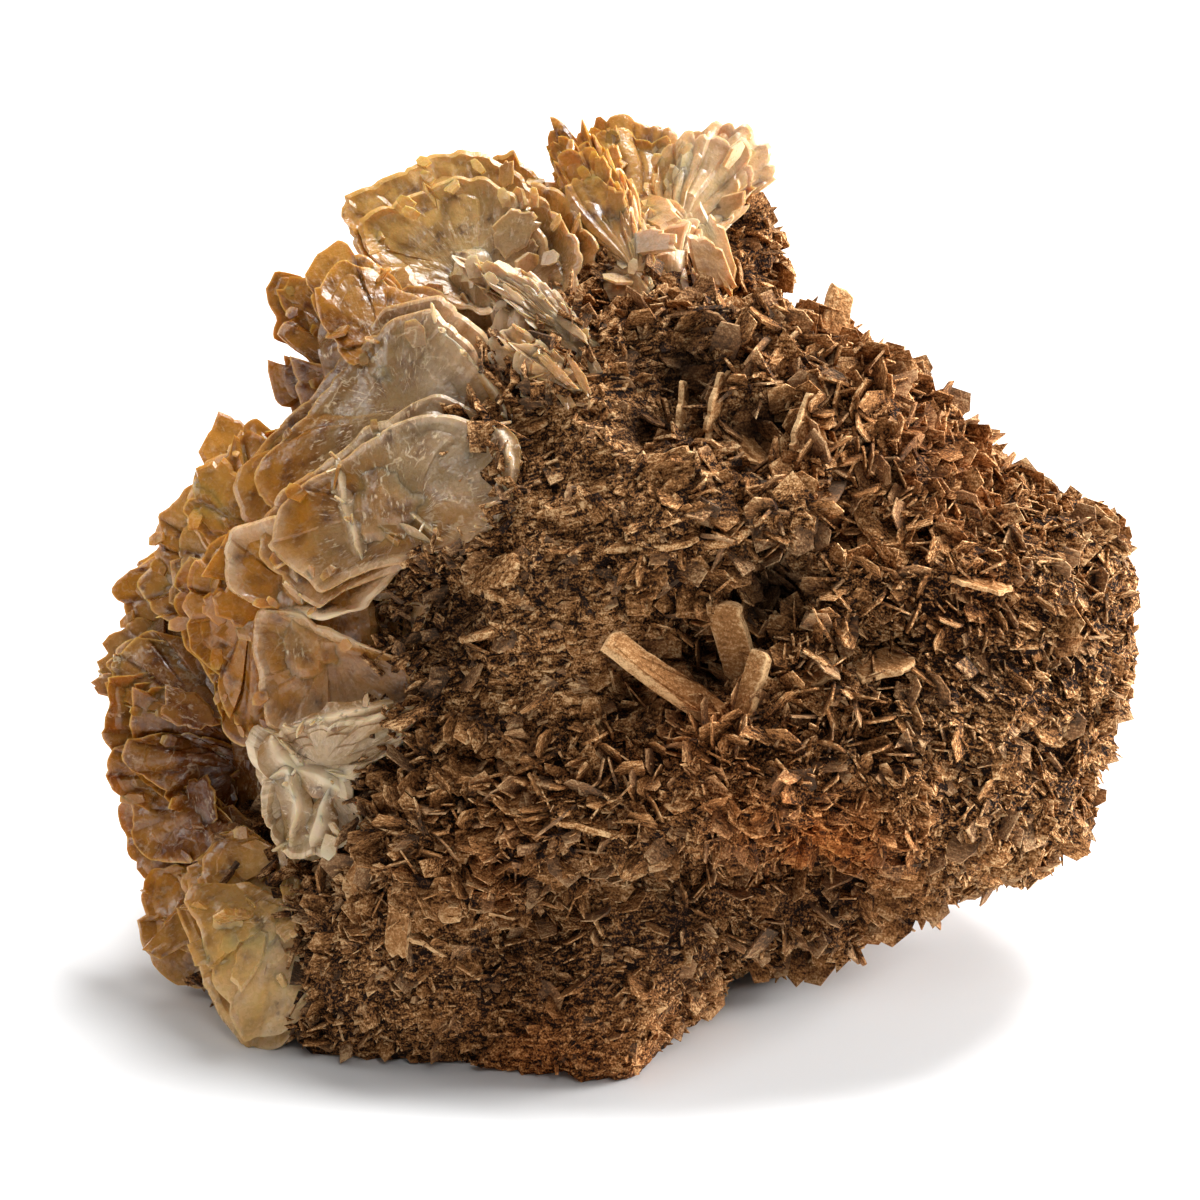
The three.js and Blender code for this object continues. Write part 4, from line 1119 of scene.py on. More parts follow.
patches = {  # layout place, spread and amount
    "frost": [  # fractured and whitish
        ((-5, 107, 17), 7, 0.9), ((-15, 111, 17), 8, 1), ((-21, 94, 26), 7, 0.5), ((-27, 86, 28), 7, 0.3),
        ((-38, 76, 28), 4, 0.4), ((-44, 66, 26), 4, 0.4), ((-36, 50, 28), 7, 0.5), ((-42, 44, 25), 8, 0.7),
        ((-42, 35, 24), 8, 0.8), ((-47, 15, 18), 7, 0.8), ((-46, 4, 18), 7, 0.6), ((12, 127, -4), 8, 1.0),
        ((18, 131, -8), 7, 0.75), ((8, 116, 4), 8, 0.9), ((3, 110, 8), 6, 0.6), ((-24, 99, 20), 7, 0.5),
        ((-20, 119, 2), 11, 0.35), ((-52, 10, 14), 8, 0.35), ((-18, 94, 28), 7, 0.5), ((-21, 84, 32), 6, 0.4),
        ((-24, 104, 18), 6, 0.4), ((-30, 66, 26), 5, 0.4),
    ],
    "honey": [
        ((-49, 86, 14), 7, 0.5), ((-46, 78, 24), 5, 0.4), ((-50, 70, 20), 6, 0.55), ((-44, 66, 24), 3, 0.9),
        ((-47, 54, 22), 6, 0.6), ((-3, 124, 4), 8, 0.5), ((-54, 14, 14), 4, 0.7), ((-64, 20, 5), 7, 0.7),
        ((-15, 101, 24), 6, 1.8), ((-34, 119, 0), 7, 0.3),
    ],
    "grey": [
        ((-32, 95, 18), 11, 0.6), ((-28, 88, 28), 8, 0.35), ((-46, 62, 22), 4, 0.4), ((-18, 122, 2), 10, 0.5),
        ((-50, 23, 14), 6, 0.3), ((-68, 61, 3), 6, 0.4), ((-46, 60, 24), 4, 0.4), ((-7, 113, 4), 6, 0.4),
    ],
    "buried": [  # where a blade goes down into the rock
        ((-20, 95, 27), 6, 1), ((-18, 88, 35), 8, 1), ((-22, 78, 35), 7, 0.8), ((-29, 71, 33), 6, 0.8),
        ((-30, 55, 32), 7, 0.9), ((-32, 48, 31), 5, 0.6), ((-43, 11, 21), 6, 0.7), ((-5, 102, 22), 6, 0.7),
        ((-45, 25, 20), 5, 0.6),
    ],
    # painted light: paler where light would shine through the blades from behind
    "light": [  # bright with light that comes through
        ((-50, 12, 16), 10, 0.9), ((-32, 124, 2), 9, 0.5), ((-15, 102, 25), 4.5, 0.7),
        ((-27, 128, 0), 12, 0.75), ((-10, 122, 0), 10, 0.35), ((2, 128, -4), 11, 0.4),
        ((14, 130, -8), 10, 0.35), ((-57, 14, 10), 13, 0.4), ((-50, 29, 12), 8, 0.3), ((-61, 76, 4), 9, 0.3),
        ((-44, 112, 4), 8, 0.2), ((-56, 86, 6), 8, 0.3), ((-70, 62, 0), 6, 0.2),
    ],
    # painted shade, mostly in the recesses between and under the blades
    "dark": [
        ((-42, 104, 8), 9, 0.3), ((-45, 93, 4), 7, 0.3), ((-58, 48, 2), 8, 0.7), ((-57, 38, 2), 7, 0.6),
        ((-60, 30, 4), 5, 0.3), ((-35, 70, 22), 4, 0.5), ((-40, 55, 22), 6, 0.35), ((-57, 60, 5), 5, 0.35),
        ((-11, 112, 2), 5, 0.4), ((-62, 66, 0), 9, 0.25), ((-2, 121, 2), 6, 0.3), ((-64, 18, 2), 6, 0.3),
    ],
}
buriedDepth = 6.0  # of the blades where they go down into the rock


def crystalValues(points, edge, warm, turn, reach, look, tone):
    # The look of the piece, changed by the patches and towards the edge. A buried blade has no edge.
    edge = edge * (1 - patchSum(points, patches["buried"]))
    frost = patchSum(points, patches["frost"]) * (0.5 + 0.5 * edge) + look["frost"] * (0.3 + 0.7 * edge)
    honey = look["honey"] + look["rimHoney"] * warm
    honey += patchSum(points, patches["honey"]) - patchSum(points, patches["grey"])
    return {
        "honey": np.clip(honey, 0, 1),
        "frost": np.clip(frost, 0, 1),
        "edge": edge,
        "light": patchSum(points, patches["light"]),
        "dark": patchSum(points, patches["dark"]) + look["dark"],
        "turn": turn,
        "reach": reach,
        "tone": tone,
    }


def sunkDown(points):
    # Towards the middle of the lump by up to the given depth, where the blades are buried.
    down = buriedDepth * patchSum(points, patches["buried"])
    return points - unit(points - lump["heart"]) * down[:, None]


petalShape = {
    "corners": 7,
    "uneven": 0.20,
    "notch": 0.16,
    "inner": 0.88,  # size of the flat faces, as a share of the rim
    "rim": 0.12,
}


def petalOutlines(count, random):
    # Seven corners about an oval, joined by straight edges. Every edge has a sharp nick: a point drawn in,
    # and one on the edge just past it.
    corners = petalShape["corners"]
    angle = 2 * np.pi * (np.arange(corners) + random.uniform(-0.32, 0.32, (count, corners))) / corners
    reach = 1 + petalShape["uneven"] * random.uniform(-1, 1, (count, corners))
    corner = np.stack([np.sin(angle) * reach, -np.cos(angle) * reach], -1)
    edge = np.roll(corner, -1, axis=1) - corner
    share = random.uniform(0.25, 0.65, (count, corners, 1))
    nick = (corner + edge * share) * (1 - petalShape["notch"] * random.uniform(0, 1, (count, corners, 1)))
    return np.stack([corner, nick, corner + edge * (share + 0.12)], 2).reshape(count, 3 * corners, 2)


def petalBatch(at, out, facing, size, width, thick, random):
    # Angular petals, all at once, in rings at the inner front, the rim and the inner back, with two poles.
    count, around = len(at), 3 * petalShape["corners"]
    across = unit(np.cross(out, facing))
    normal = np.cross(across, out)
    outlines = petalOutlines(count, random)
    u = outlines[..., 0] * (0.84 + 0.16 * outlines[..., 1]) * width[:, None] / 2
    v = (outlines[..., 1] + 0.45) * size[:, None] * 0.62
    shares = np.array([petalShape["inner"], 1, 1, petalShape["inner"]])
    middle = v.mean(1, keepdims=True)
    face = np.array([1, 0, 0, -1])[:, None] * random.uniform(0.9, 1.1, (count, 4, around))
    lift = thick[:, None, None] / 2 * face + petalShape["rim"] * np.array([0, 1, -1, 0])[:, None]
    flatU = u[:, None] * shares[:, None]
    flatV = middle[:, None] + (v - middle)[:, None] * shares[:, None]
    bend = 0.03 * flatU ** 2 / width[:, None, None] * random.uniform(-1, 1, (count, 1, 1))
    local = np.stack([flatU, flatV, lift + bend], -1).reshape(count, 4 * around, 3)
    ends = thick[:, None] * np.array([0.55, -0.55])
    poles = np.stack([np.zeros((count, 2)), np.repeat(middle, 2, 1), ends], -1)
    local = np.concatenate([local, poles], 1)
    axes = np.stack([across, out, normal], 1)
    points = at[:, None] + np.einsum("npi,nij->npj", local, axes)
    per = 4 * around + 2
    faces = [(group[None] + (np.arange(count) * per)[:, None, None]).reshape(-1, group.shape[1])
             for group in shellFaces(4, around)]
    edge = np.concatenate([np.repeat([0.1, 1, 1, 0.1], around), [0, 0]])
    return {
        "points": points.reshape(-1, 3),
        "faces": faces,
        "per": per,
        "edge": np.tile(edge, count),
        "turn": local[..., 0].ravel(),
        "reach": local[..., 1].ravel(),
    }


def rimPlaces(leaves, every, random):
    # Places along the rims of the leaves: for each leaf its own number of rim points, drawn at random.
    for leaf in leaves:
        rim = leaf["rim"]
        count = int(len(rim["points"]) * rim["step"] / every)
        pick = random.integers(0, len(rim["points"]), count)
        yield leaf, count, rim["points"][pick], rim["out"][pick], np.broadcast_to(leaf["normal"], (count, 3))


def petals(leaves, look, random):
    # Toothed petals that lie on the blades near their crests, nearly parallel to them, like scales.
    rows = []
    for leaf, count, at, out, normal in rimPlaces(leaves, look["petalEvery"], random):
        side = np.where(random.random(count) < 0.72, 1.0, -1.0) * np.sign(leaf["normal"][2] + 0.3)
        rows.append((at, out, normal, side, np.full(count, leaf["thick"])))
    at, out, normal, side, thick = (np.concatenate(part) for part in zip(*rows))
    size = look["petalSize"] * np.exp(random.normal(0, 0.28, len(at)))
    back = size * random.uniform(0.75, look["petalBack"], len(at))
    at = at - out * back[:, None] + normal * (side * thick * 0.42)[:, None]
    keep = overLump(at + out * size[:, None] / 2)[1] > -1.5
    if not keep.any():
        return []
    at, out, normal, side, size = at[keep], out[keep], normal[keep], side[keep], size[keep]
    count = len(at)
    lift = random.uniform(0.05, look["petalLift"], count) * side
    out = unit(out + look["fray"] * random.normal(size=(count, 3)) + normal * lift[:, None])
    out = unit(out + look["petalWay"])
    facing = unit(normal + look["tilt"] * random.normal(size=(count, 3)))
    width = size * random.uniform(0.8, 1.25, count) * look["petalWide"]
    batch = petalBatch(at, out, facing, size, width, np.clip(size * 0.13, 0.5, 1.1), random)
    batch["tone"] = np.repeat(random.random(count), batch["per"])
    batch = keptInside(batch)
    points, edge, tone = batch["points"], batch["edge"] * 0.8, batch["tone"]
    values = crystalValues(points, edge, 0.4 * edge, batch["turn"], batch["reach"], look, tone)
    values["honey"] = np.clip(values["honey"] + 0.5 * (tone - 0.5), 0, 1)
    return [{**batch, "values": values}]


def crystallets(leaves, look, random):
    # Very small plates on the crests, with a few on the faces next to them.
    rows = []
    for leaf, count, at, out, normal in rimPlaces(leaves, look["crystalEvery"], random):
        drawn = random.uniform(0.3, 1.0, (count, 1)) ** 2 * 6
        side = leaf["normal"] * leaf["thick"] / 2 * np.clip(drawn, 0, 1)
        rows.append((at - out * drawn + side, out, normal))
    at, out, normal = (np.concatenate(part) for part in zip(*rows))
    keep = overLump(at)[1] > -1.5
    if not keep.any():
        return []
    at, out, normal = at[keep], out[keep], normal[keep]
    count = len(at)
    out = unit(out + 0.5 * random.normal(size=(count, 3)))
    facing = unit(normal + 0.4 * random.normal(size=(count, 3)))
    size = look["crystalSize"] * np.exp(random.normal(0, 0.3, count))
    shape = roughShape("six", count, 0.08, random)
    width = size * random.uniform(0.6, 1.1, count)
    thick = np.clip(size * 0.2, 0.25, 0.6)
    batch = keptInside(plateBatch(at, out, facing, size, width, thick, shape, random.random(count)))
    tip, tone = batch["tip"], batch["tone"]
    values = crystalValues(batch["points"], tip ** 2, 0.6 * tip, 3 * tone, 3 * tip, look, tone)
    return [{**batch, "values": values}]


def rootShell(root, look, seed):
    # An uneven ball that ties the blades of a cluster together.
    rings, around = 30, 56
    directions = ballDirections(rings, around)
    smooth = np.array(root["at"]) + directions * np.array(root["radii"]) * 0.94
    rough = 1.1 * ridgeNoise(smooth, 5, seed) + 0.8 * softNoise(smooth, 2.6, seed + 1)
    rough += 0.6 * ridgeNoise(smooth, 2.1, seed + 2)
    points = smooth + directions * (rough - 0.3)[..., None]
    edge = np.clip(0.15 + 0.2 * rough, 0, 1)
    values = crystalValues(points, edge, 0.0, points[:, 0], points[:, 1], look, 0.5)
    return {"points": points, "faces": shellFaces(rings, around), "values": values}


def leavesOf(outline, origin, axes, thick, root, look, seed):
    # A blade is a stack of leaves. The main one has the full outline, and the others are drawn in and turned
    # a little about the root, so that their rims show as steps.
    layers = look["layers"]
    random = np.random.default_rng(900 + seed)
    outline = np.array(outline, float)
    leaves = []
    for layer in range(layers):
        share = layer / max(layers - 1, 1) - 0.5
        main = layer == layers // 2
        size = 1.0 if main else random.uniform(*look["drawnIn"])
        turn = 0 if main else random.uniform(-0.08, 0.08)
        shift = share * thick * look["loose"]
        cosine, sine = math.cos(turn), math.sin(turn)
        arms = (outline - root) * size
        drawn = root + arms @ np.array([[cosine, sine], [-sine, cosine]])
        tilt = np.zeros(2) if main else random.uniform(-0.05, 0.05, 2)
        leaning = (axes[0] + axes[2] * tilt[0], axes[1] + axes[2] * tilt[1], axes[2])
        base = np.array(origin) + axes[2] * (shift - tilt @ outline.mean(0))
        leaf = leafShell(
            drawn, base, leaning, thick / max(layers - 0.6, 1) * 1.15, look, seed * 7 + layer, root,
            full=look["full"] and layer >= layers // 2,
        )
        values = crystalValues(
            leaf["points"], leaf["edge"], leaf["warm"], leaf["turn"], leaf["reach"], look, random.random(),
        )
        leaf["points"][:] = sunkDown(leaf["points"])  # in place, because the rim's points are a part of these
        values["honey"] = np.clip(values["honey"] + 0.18 * leaf["own"], 0, 1)
        values["frost"] = np.clip(values["frost"] + look["lipFrost"] * leaf["lip"], 0, 1)
        values["dark"] = values["dark"] + look["cracks"] * leaf["crack"] + 0.10 * leaf["own"]
        leaf["values"] = values
        leaves.append(leaf)
    return leaves


def drawnFrame(blade):
    # A drawn blade is sheared, so it leans without changing the outline that the viewer sees.
    depth, lean, _, outline = blade
    slant = math.hypot(1, *lean)
    axes = np.array([(1, 0, lean[0]), (0, 1, lean[1]), (0, 0, slant)], float)
    return (0, 0, depth - np.dot(lean, np.mean(outline, axis=0))), axes


bankedLeaves = []  # the blades of the front, whose feet the rock banks up against


def growCrest(name, crest):
    leaves = []
    look = {**bladeLook, **crest["look"]}
    root = np.array(crest.get("pole", crest["root"]["at"][:2]), float)
    for index, blade in enumerate(crest["blades"]):
        origin, axes = drawnFrame(blade)
        leaves += leavesOf(blade[3], origin, axes, blade[2], root, look, crest["seed"] + index * 3)
    bankedLeaves.extend(leaves)
    shells = [*leaves, rootShell(crest["root"], look, crest["seed"])]
    return dressed(name, leaves, shells, look, crest["seed"])


def dressed(name, leaves, shells, look, seed):
    # Petals and small crystals are added to the blades, and all of it becomes one piece.
    random = np.random.default_rng(seed)
    shells = shells + petals(leaves, look, random) + crystallets(leaves, look, random)
    return addPiece(name + "_crystals", shells, bariteMaterial, [name], sharp=0.5)


# the broad smooth blades in the middle of the crust, with few notches and low steps
smoothLook = {"cell": 7.0, "uneven": 0.3, "notch": 0.3, "ribs": 0.35, "groove": 0.08, "cracks": 0.12,
              "terrace": 0.2, "petalEvery": 90.0, "petalSize": 5.0, "crystalEvery": 20.0, "spacing": 0.55}

rimmedBlade = {
    "seed": 101,
    "look": {**smoothLook, "honey": 0.50, "rimHoney": 0.15, "crystalEvery": 16.0, "dish": 0.8, "lumps": 0.8,
             "lip": 0.6, "lipFrost": 0.45, "dark": 0.15},
    "root": {"at": (-31, 79, 21), "radii": (10, 10, 11)},
    "blades": [
        (27, (0.5, -0.25), 3.6, [
            (-51, 73), (-50, 79), (-47.5, 82), (-44, 84.5), (-39.5, 87.5), (-35.5, 91.5), (-32, 93),
            (-26.5, 97), (-23.5, 96.5), (-20.5, 91.5), (-18.5, 84.5), (-23, 77), (-33, 72), (-42, 66)]),
        (24, (0.9, 0.5), 3, [
            (-44, 72), (-40, 76), (-31, 78), (-28, 74), (-30, 68), (-35, 64.5), (-41, 66)]),
    ],
}
triangles += growCrest("rimmed_blade", rimmedBlade)

longBlade = {
    "seed": 120,
    "look": {**smoothLook, "honey": 0.30, "rimHoney": 0.30, "ribs": 0.4, "cracks": 0.1, "petalEvery": 200.0,
             "lumps": 0.9, "lip": 0.3, "lipFrost": 0.15, "dark": 0.14},
    "root": {"at": (-30, 94, 13), "radii": (10, 10, 11)},
    "blades": [
        (19, (0.45, -0.3), 4, [
            (-39, 101.5), (-44, 95.5), (-48.5, 91), (-53.5, 85.5), (-54.5, 83), (-53, 78.5), (-46, 76),
            (-31.5, 84), (-20, 92), (-19, 104), (-25, 110), (-33, 108)]),
    ],
}
triangles += growCrest("long_blade", longBlade)

pocketBlades = {
    "seed": 140,
    "look": {**smoothLook, "honey": 0.80, "rimHoney": 0.1, "frost": 0.06, "layers": 2, "cell": 6.0,
             "petalSize": 4.0, "dish": 2.2, "lip": 1.3, "lipFrost": 0.85, "dark": 0.12},
    "root": {"at": (-41, 63, 17), "radii": (9, 12, 11)},
    "blades": [
        (23, (0.45, -0.15), 3.4, [
            (-54.5, 77), (-55.5, 73), (-54.5, 68.5), (-49.5, 65.5), (-41.5, 64.5), (-36, 66), (-33, 72),
            (-35, 77), (-40, 79), (-48, 79)]),
        (25, (0.5, 0.1), 3.6, [
            (-51.5, 63.5), (-50.5, 66), (-44.5, 66), (-42.5, 64), (-37, 61.5), (-32, 58), (-31, 51.5),
            (-38, 48.5), (-46, 48), (-49, 49.5), (-50.5, 55.5)]),
        (21, (1.1, 0.4), 3, [
            (-38, 64), (-33, 68), (-29, 67), (-29, 61), (-33, 57), (-38, 59)]),
    ],
}
triangles += growCrest("pocket_blades", pocketBlades)

whiteRimBlades = {
    "seed": 160,
    "look": {"honey": 0.25, "rimHoney": 0.1, "frost": 0.40, "layers": 2, "cell": 4.0, "notch": 0.5,
             "ribs": 0.5, "petalEvery": 60.0, "petalSize": 4.0, "petalWide": 0.5, "crystalEvery": 20.0,
             "lumps": 1.2, "creases": 0.05, "groove": 0.15, "cracks": 0.2, "dish": 1.0, "lip": 1.2,
             "lipFrost": 0.8},
    "root": {"at": (-42, 42, 16), "radii": (9, 11, 10)},
    "blades": [
        (27, (0.4, 0.3), 3.4, [
            (-49, 49), (-46.5, 45.5), (-45, 43), (-37, 42), (-34, 46), (-32, 52), (-41.5, 50.5)]),
        (21, (0.6, 0.2), 3, [
            (-53, 47.5), (-51, 50), (-48, 49), (-44, 44), (-44, 38), (-50, 41)]),
        (24, (0.3, 0.25), 3.4, [
            (-49.5, 42), (-45, 44), (-38, 43), (-36, 36), (-41, 31), (-47, 30.5), (-49.5, 36)]),
    ],
}
triangles += growCrest("white_rim_blades", whiteRimBlades)

footBlades = {
    "seed": 180,
    "look": {"honey": 0.60, "rimHoney": 0.25, "cell": 7.0, "uneven": 0.8, "notch": 0.5, "ribs": 1.0,
             "groove": 0.1, "cracks": 0.15, "petalEvery": 10.0, "petalSize": 9.0, "petalWide": 0.5,
             "petalWay": (-0.3, -0.9, 0.2), "petalBack": 1.2, "crystalEvery": 12.0, "lumps": 1.4},
    "pole": (-42, 33),
    "root": {"at": (-50, 20, 6), "radii": (9, 11, 11)},
    "blades": [
        (16, (0.35, -0.25), 4.5, [
            (-62.5, 23.5), (-61, 26), (-53, 26.5), (-50, 24), (-45.5, 20.5), (-44.5, 13), (-43.5, 8.5),
            (-48, 4.5), (-52.5, 3.5), (-55, 7), (-58, 11.5), (-60, 18.5)]),
        (11, (0.5, -0.3), 3.6, [
            (-61.5, 27.5), (-60, 30.5), (-57, 34.5), (-54, 35.5), (-49, 32.5), (-45.5, 28), (-46, 22),
            (-52, 21), (-60, 24)]),
        (3, (0.5, -0.1), 5, [
            (-68, 21.5), (-67.5, 26.5), (-66.5, 28.5), (-63.5, 29.5), (-59, 28), (-50, 24), (-50, 14),
            (-58, 12.5), (-63, 12.5), (-65.5, 14.5), (-67.5, 17.5)]),
    ],
}
triangles += growCrest("foot_blades", footBlades)

sheafBlade = {
    "seed": 200,
    "look": {"honey": 0.10, "rimHoney": 0.1, "frost": 0.35, "cell": 2.2, "uneven": 0.6, "notch": 0.7,
             "ribs": 1.0, "petalEvery": 9.0, "petalWide": 0.3, "petalWay": (1.8, -1.3, 0.6),
             "crystalEvery": 9.0, "creases": 0.4},
    "pole": (-3, 101),
    "root": {"at": (-13, 104, 10), "radii": (6, 6, 10)},
    "blades": [
        (17, (0.2, -0.4), 3.4, [
            (-24, 116), (-19.5, 115), (-12.5, 113), (-8, 109.5), (-4.5, 105), (-9, 101.5), (-14, 105),
            (-21, 112)]),
        (25, (0.1, -0.4), 3, [
            (-20, 101), (-18.5, 104.5), (-14, 105.5), (-9.5, 102.5), (-10.5, 98), (-17, 97)]),
    ],
}
triangles += growCrest("sheaf_blade", sheafBlade)

upperFan = {
    "seed": 220,
    "look": {"honey": 0.65, "rimHoney": 0.35, "layers": 4, "cell": 6.5, "uneven": 0.8, "notch": 0.6,
             "ribs": 0.7, "groove": 0.15, "cracks": 0.25, "petalEvery": 60.0, "petalSize": 7.0,
             "crystalEvery": 14.0, "dark": 0.10},
    "root": {"at": (-34, 101, 6), "radii": (9, 9, 12)},
    "blades": [
        (12, (0.2, -0.6), 4, [
            (-44.5, 113), (-42.5, 115.5), (-39.5, 117.5), (-35, 116), (-30, 111.5), (-25.5, 110),
            (-20.5, 104.5), (-21, 99), (-31, 96), (-38, 100), (-43.5, 107)]),
        (2, (0.4, -0.2), 4.5, [
            (-50.5, 111.5), (-48.5, 113.5), (-44, 113), (-38, 109), (-34, 100), (-39, 94), (-45, 101.5),
            (-49.5, 104.5), (-48.5, 107), (-50, 109.5)]),
        (3, (0.5, 0.2), 4.5, [
            (-50.5, 101.5), (-45.5, 100), (-39, 100), (-35, 92), (-44, 89), (-48.5, 95)]),
    ],
}
triangles += growCrest("upper_fan", upperFan)

roughShoulder = {
    "seed": 240,
    "look": {"honey": 0.80, "rimHoney": 0.2, "layers": 4, "cell": 5.5, "uneven": 1.0, "notch": 0.6,
             "ribs": 1.1, "petalEvery": 12.0, "petalSize": 7.5, "petalBack": 2.2, "petalLift": 0.25,
             "crystalEvery": 9.0, "tilt": 0.14, "dark": 0.06},
    "root": {"at": (-49, 70, 5), "radii": (9, 14, 13)},
    "blades": [
        (13, (0.4, 0.1), 4.5, [
            (-60, 73.5), (-54, 77), (-48, 70), (-47, 52), (-53, 47), (-56, 49), (-58, 55.5), (-62, 60.5),
            (-63.5, 67)]),
        (8, (0.4, -0.3), 5, [
            (-53.5, 92.5), (-51.5, 93), (-46, 90), (-42, 84), (-44, 74), (-56, 73), (-61.5, 81), (-60, 86.5),
            (-57.5, 87.5), (-54.5, 89)]),
        (2, (0.6, -0.1), 5, [
            (-61, 83.5), (-64, 80), (-66, 79.5), (-66.5, 77.5), (-67.5, 74), (-65, 67), (-58, 61), (-47, 64),
            (-46, 76), (-54, 84)]),
        (-2, (0.5, -0.3), 5, [
            (-70.5, 72), (-73, 68.5), (-71, 64), (-66, 61.5), (-52, 62), (-52, 72), (-65.5, 74.5)]),
    ],
}
triangles += growCrest("rough_shoulder", roughShoulder)

leftFans = {
    "seed": 260,
    "look": {"honey": 0.60, "rimHoney": 0.2, "layers": 5, "cell": 5.5, "uneven": 0.7, "notch": 0.5,
             "ribs": 0.7, "loose": 1.15, "spacing": 0.8, "petalEvery": 40.0, "petalSize": 7.5,
             "crystalEvery": 14.0, "dark": 0.20},
    "root": {"at": (-49, 45, -3), "radii": (7, 14, 9)},
    "blades": [
        (1, (0.35, -0.35), 4.5, [
            (-75.5, 58.5), (-73.5, 59.5), (-74.5, 61), (-72.5, 63), (-69, 65), (-65.5, 64), (-60, 63),
            (-52, 57), (-50, 50), (-62, 52), (-71.5, 54.5), (-75, 56.5)]),
        (2, (-0.35, 0.3), 5, [
            (-73.5, 56), (-73, 52.5), (-74, 49), (-72.5, 45.5), (-66, 42), (-54, 42), (-52, 52),
            (-65, 56.5)]),
        (0, (-0.3, 0.2), 5, [
            (-73, 46), (-73.5, 43), (-71.5, 40), (-66, 36.5), (-58, 31), (-51, 34), (-52, 44), (-64, 48)]),
        (-2, (0.6, 0), 5, [
            (-72.5, 37.5), (-72, 41), (-68.5, 42), (-58, 38), (-52, 30), (-62, 27.5), (-67.5, 27.5),
            (-70.5, 30), (-71.5, 32)]),
    ],
}
triangles += growCrest("left_fans", leftFans)

roundedCrest = {
    "seed": 280,
    "look": {"honey": 0.20, "rimHoney": 0.75, "rimWidth": 4.5, "cell": 4.0, "uneven": 0.4, "notch": 0.5,
             "ribs": 0.3, "groove": 0.08, "cracks": 0.1, "petalEvery": 26.0, "petalSize": 4.0,
             "petalBack": 0.9, "petalLift": 0.2, "crystalEvery": 9.0, "dish": 2.4, "terrace": 0.25,
             "lip": 0.7},
    "root": {"at": (-18, 109, -2), "radii": (11, 9, 10)},
    "blades": [
        (0, (0.1, -0.5), 4.5, [
            (-39.5, 125), (-32, 128.5), (-28, 130.5), (-21.5, 131.5), (-18, 130.5), (-13.5, 127.5),
            (-9.5, 120.5), (-5, 111.5), (-10, 106), (-20, 107), (-28, 110), (-37, 116.5), (-39.5, 121.5)]),
        (-8, (0, -0.4), 4, [
            (-19.5, 130.5), (-15.5, 132), (-14.5, 130), (-11, 127.5), (-7, 127), (-5, 121), (-8, 110),
            (-20, 110), (-24, 124)]),
        (3, (0.9, -0.3), 5, [
            (-13.5, 127.5), (-9.5, 126), (-6, 122.5), (-3, 117), (-4.5, 109), (-9, 110), (-11.5, 120)]),
    ],
}
triangles += growCrest("rounded_crest", roundedCrest)

topCrest = {
    "seed": 300,
    "look": {"honey": 0.70, "rimHoney": 0.2, "layers": 4, "cell": 3.0, "uneven": 1.0, "notch": 0.9,
             "ribs": 0.9, "petalEvery": 20.0, "petalSize": 8.0, "petalWide": 0.55, "crystalEvery": 9.0,
             "petalLift": 0.3, "petalWay": (0.1, 0.8, 0)},
    "root": {"at": (4, 111, -1), "radii": (9, 9, 10)},
    "blades": [
        (2, (0.3, -0.35), 4.5, [
            (-9, 130.5), (-7.5, 131.5), (-3, 131), (-0.5, 129), (1.5, 125.5), (4, 118), (5, 107), (-3, 108),
            (-5, 118), (-7, 124.5), (-9, 126.5)]),
        (-6, (0.2, -0.2), 4, [
            (-10, 136.5), (-8, 136), (-6.5, 134), (-5.5, 136.5), (-4.5, 134.5), (0, 128), (2, 114), (-4, 112),
            (-8.5, 127), (-11, 133)]),
        (-10, (0.1, -0.4), 5, [
            (-4.5, 136), (-2.5, 137), (1.5, 137.5), (3, 136), (7, 135.5), (9, 133), (11, 126), (9, 112),
            (-1, 112), (-4, 124)]),
        (-9, (-0.2, -0.3), 6, [
            (9, 134.5), (12.5, 136), (15, 136.5), (18, 135.5), (21, 132), (22, 127.5), (19.5, 125.5),
            (16, 121), (8, 116), (4, 124), (5, 130)]),
        (1, (0.2, -0.4), 4, [
            (0, 124), (6.5, 124), (11.5, 121.5), (11.5, 116.5), (9, 108), (2, 107)]),
    ],
}
triangles += growCrest("top_crest", topCrest)


# the whitish walls where blades meet, which frame the pockets

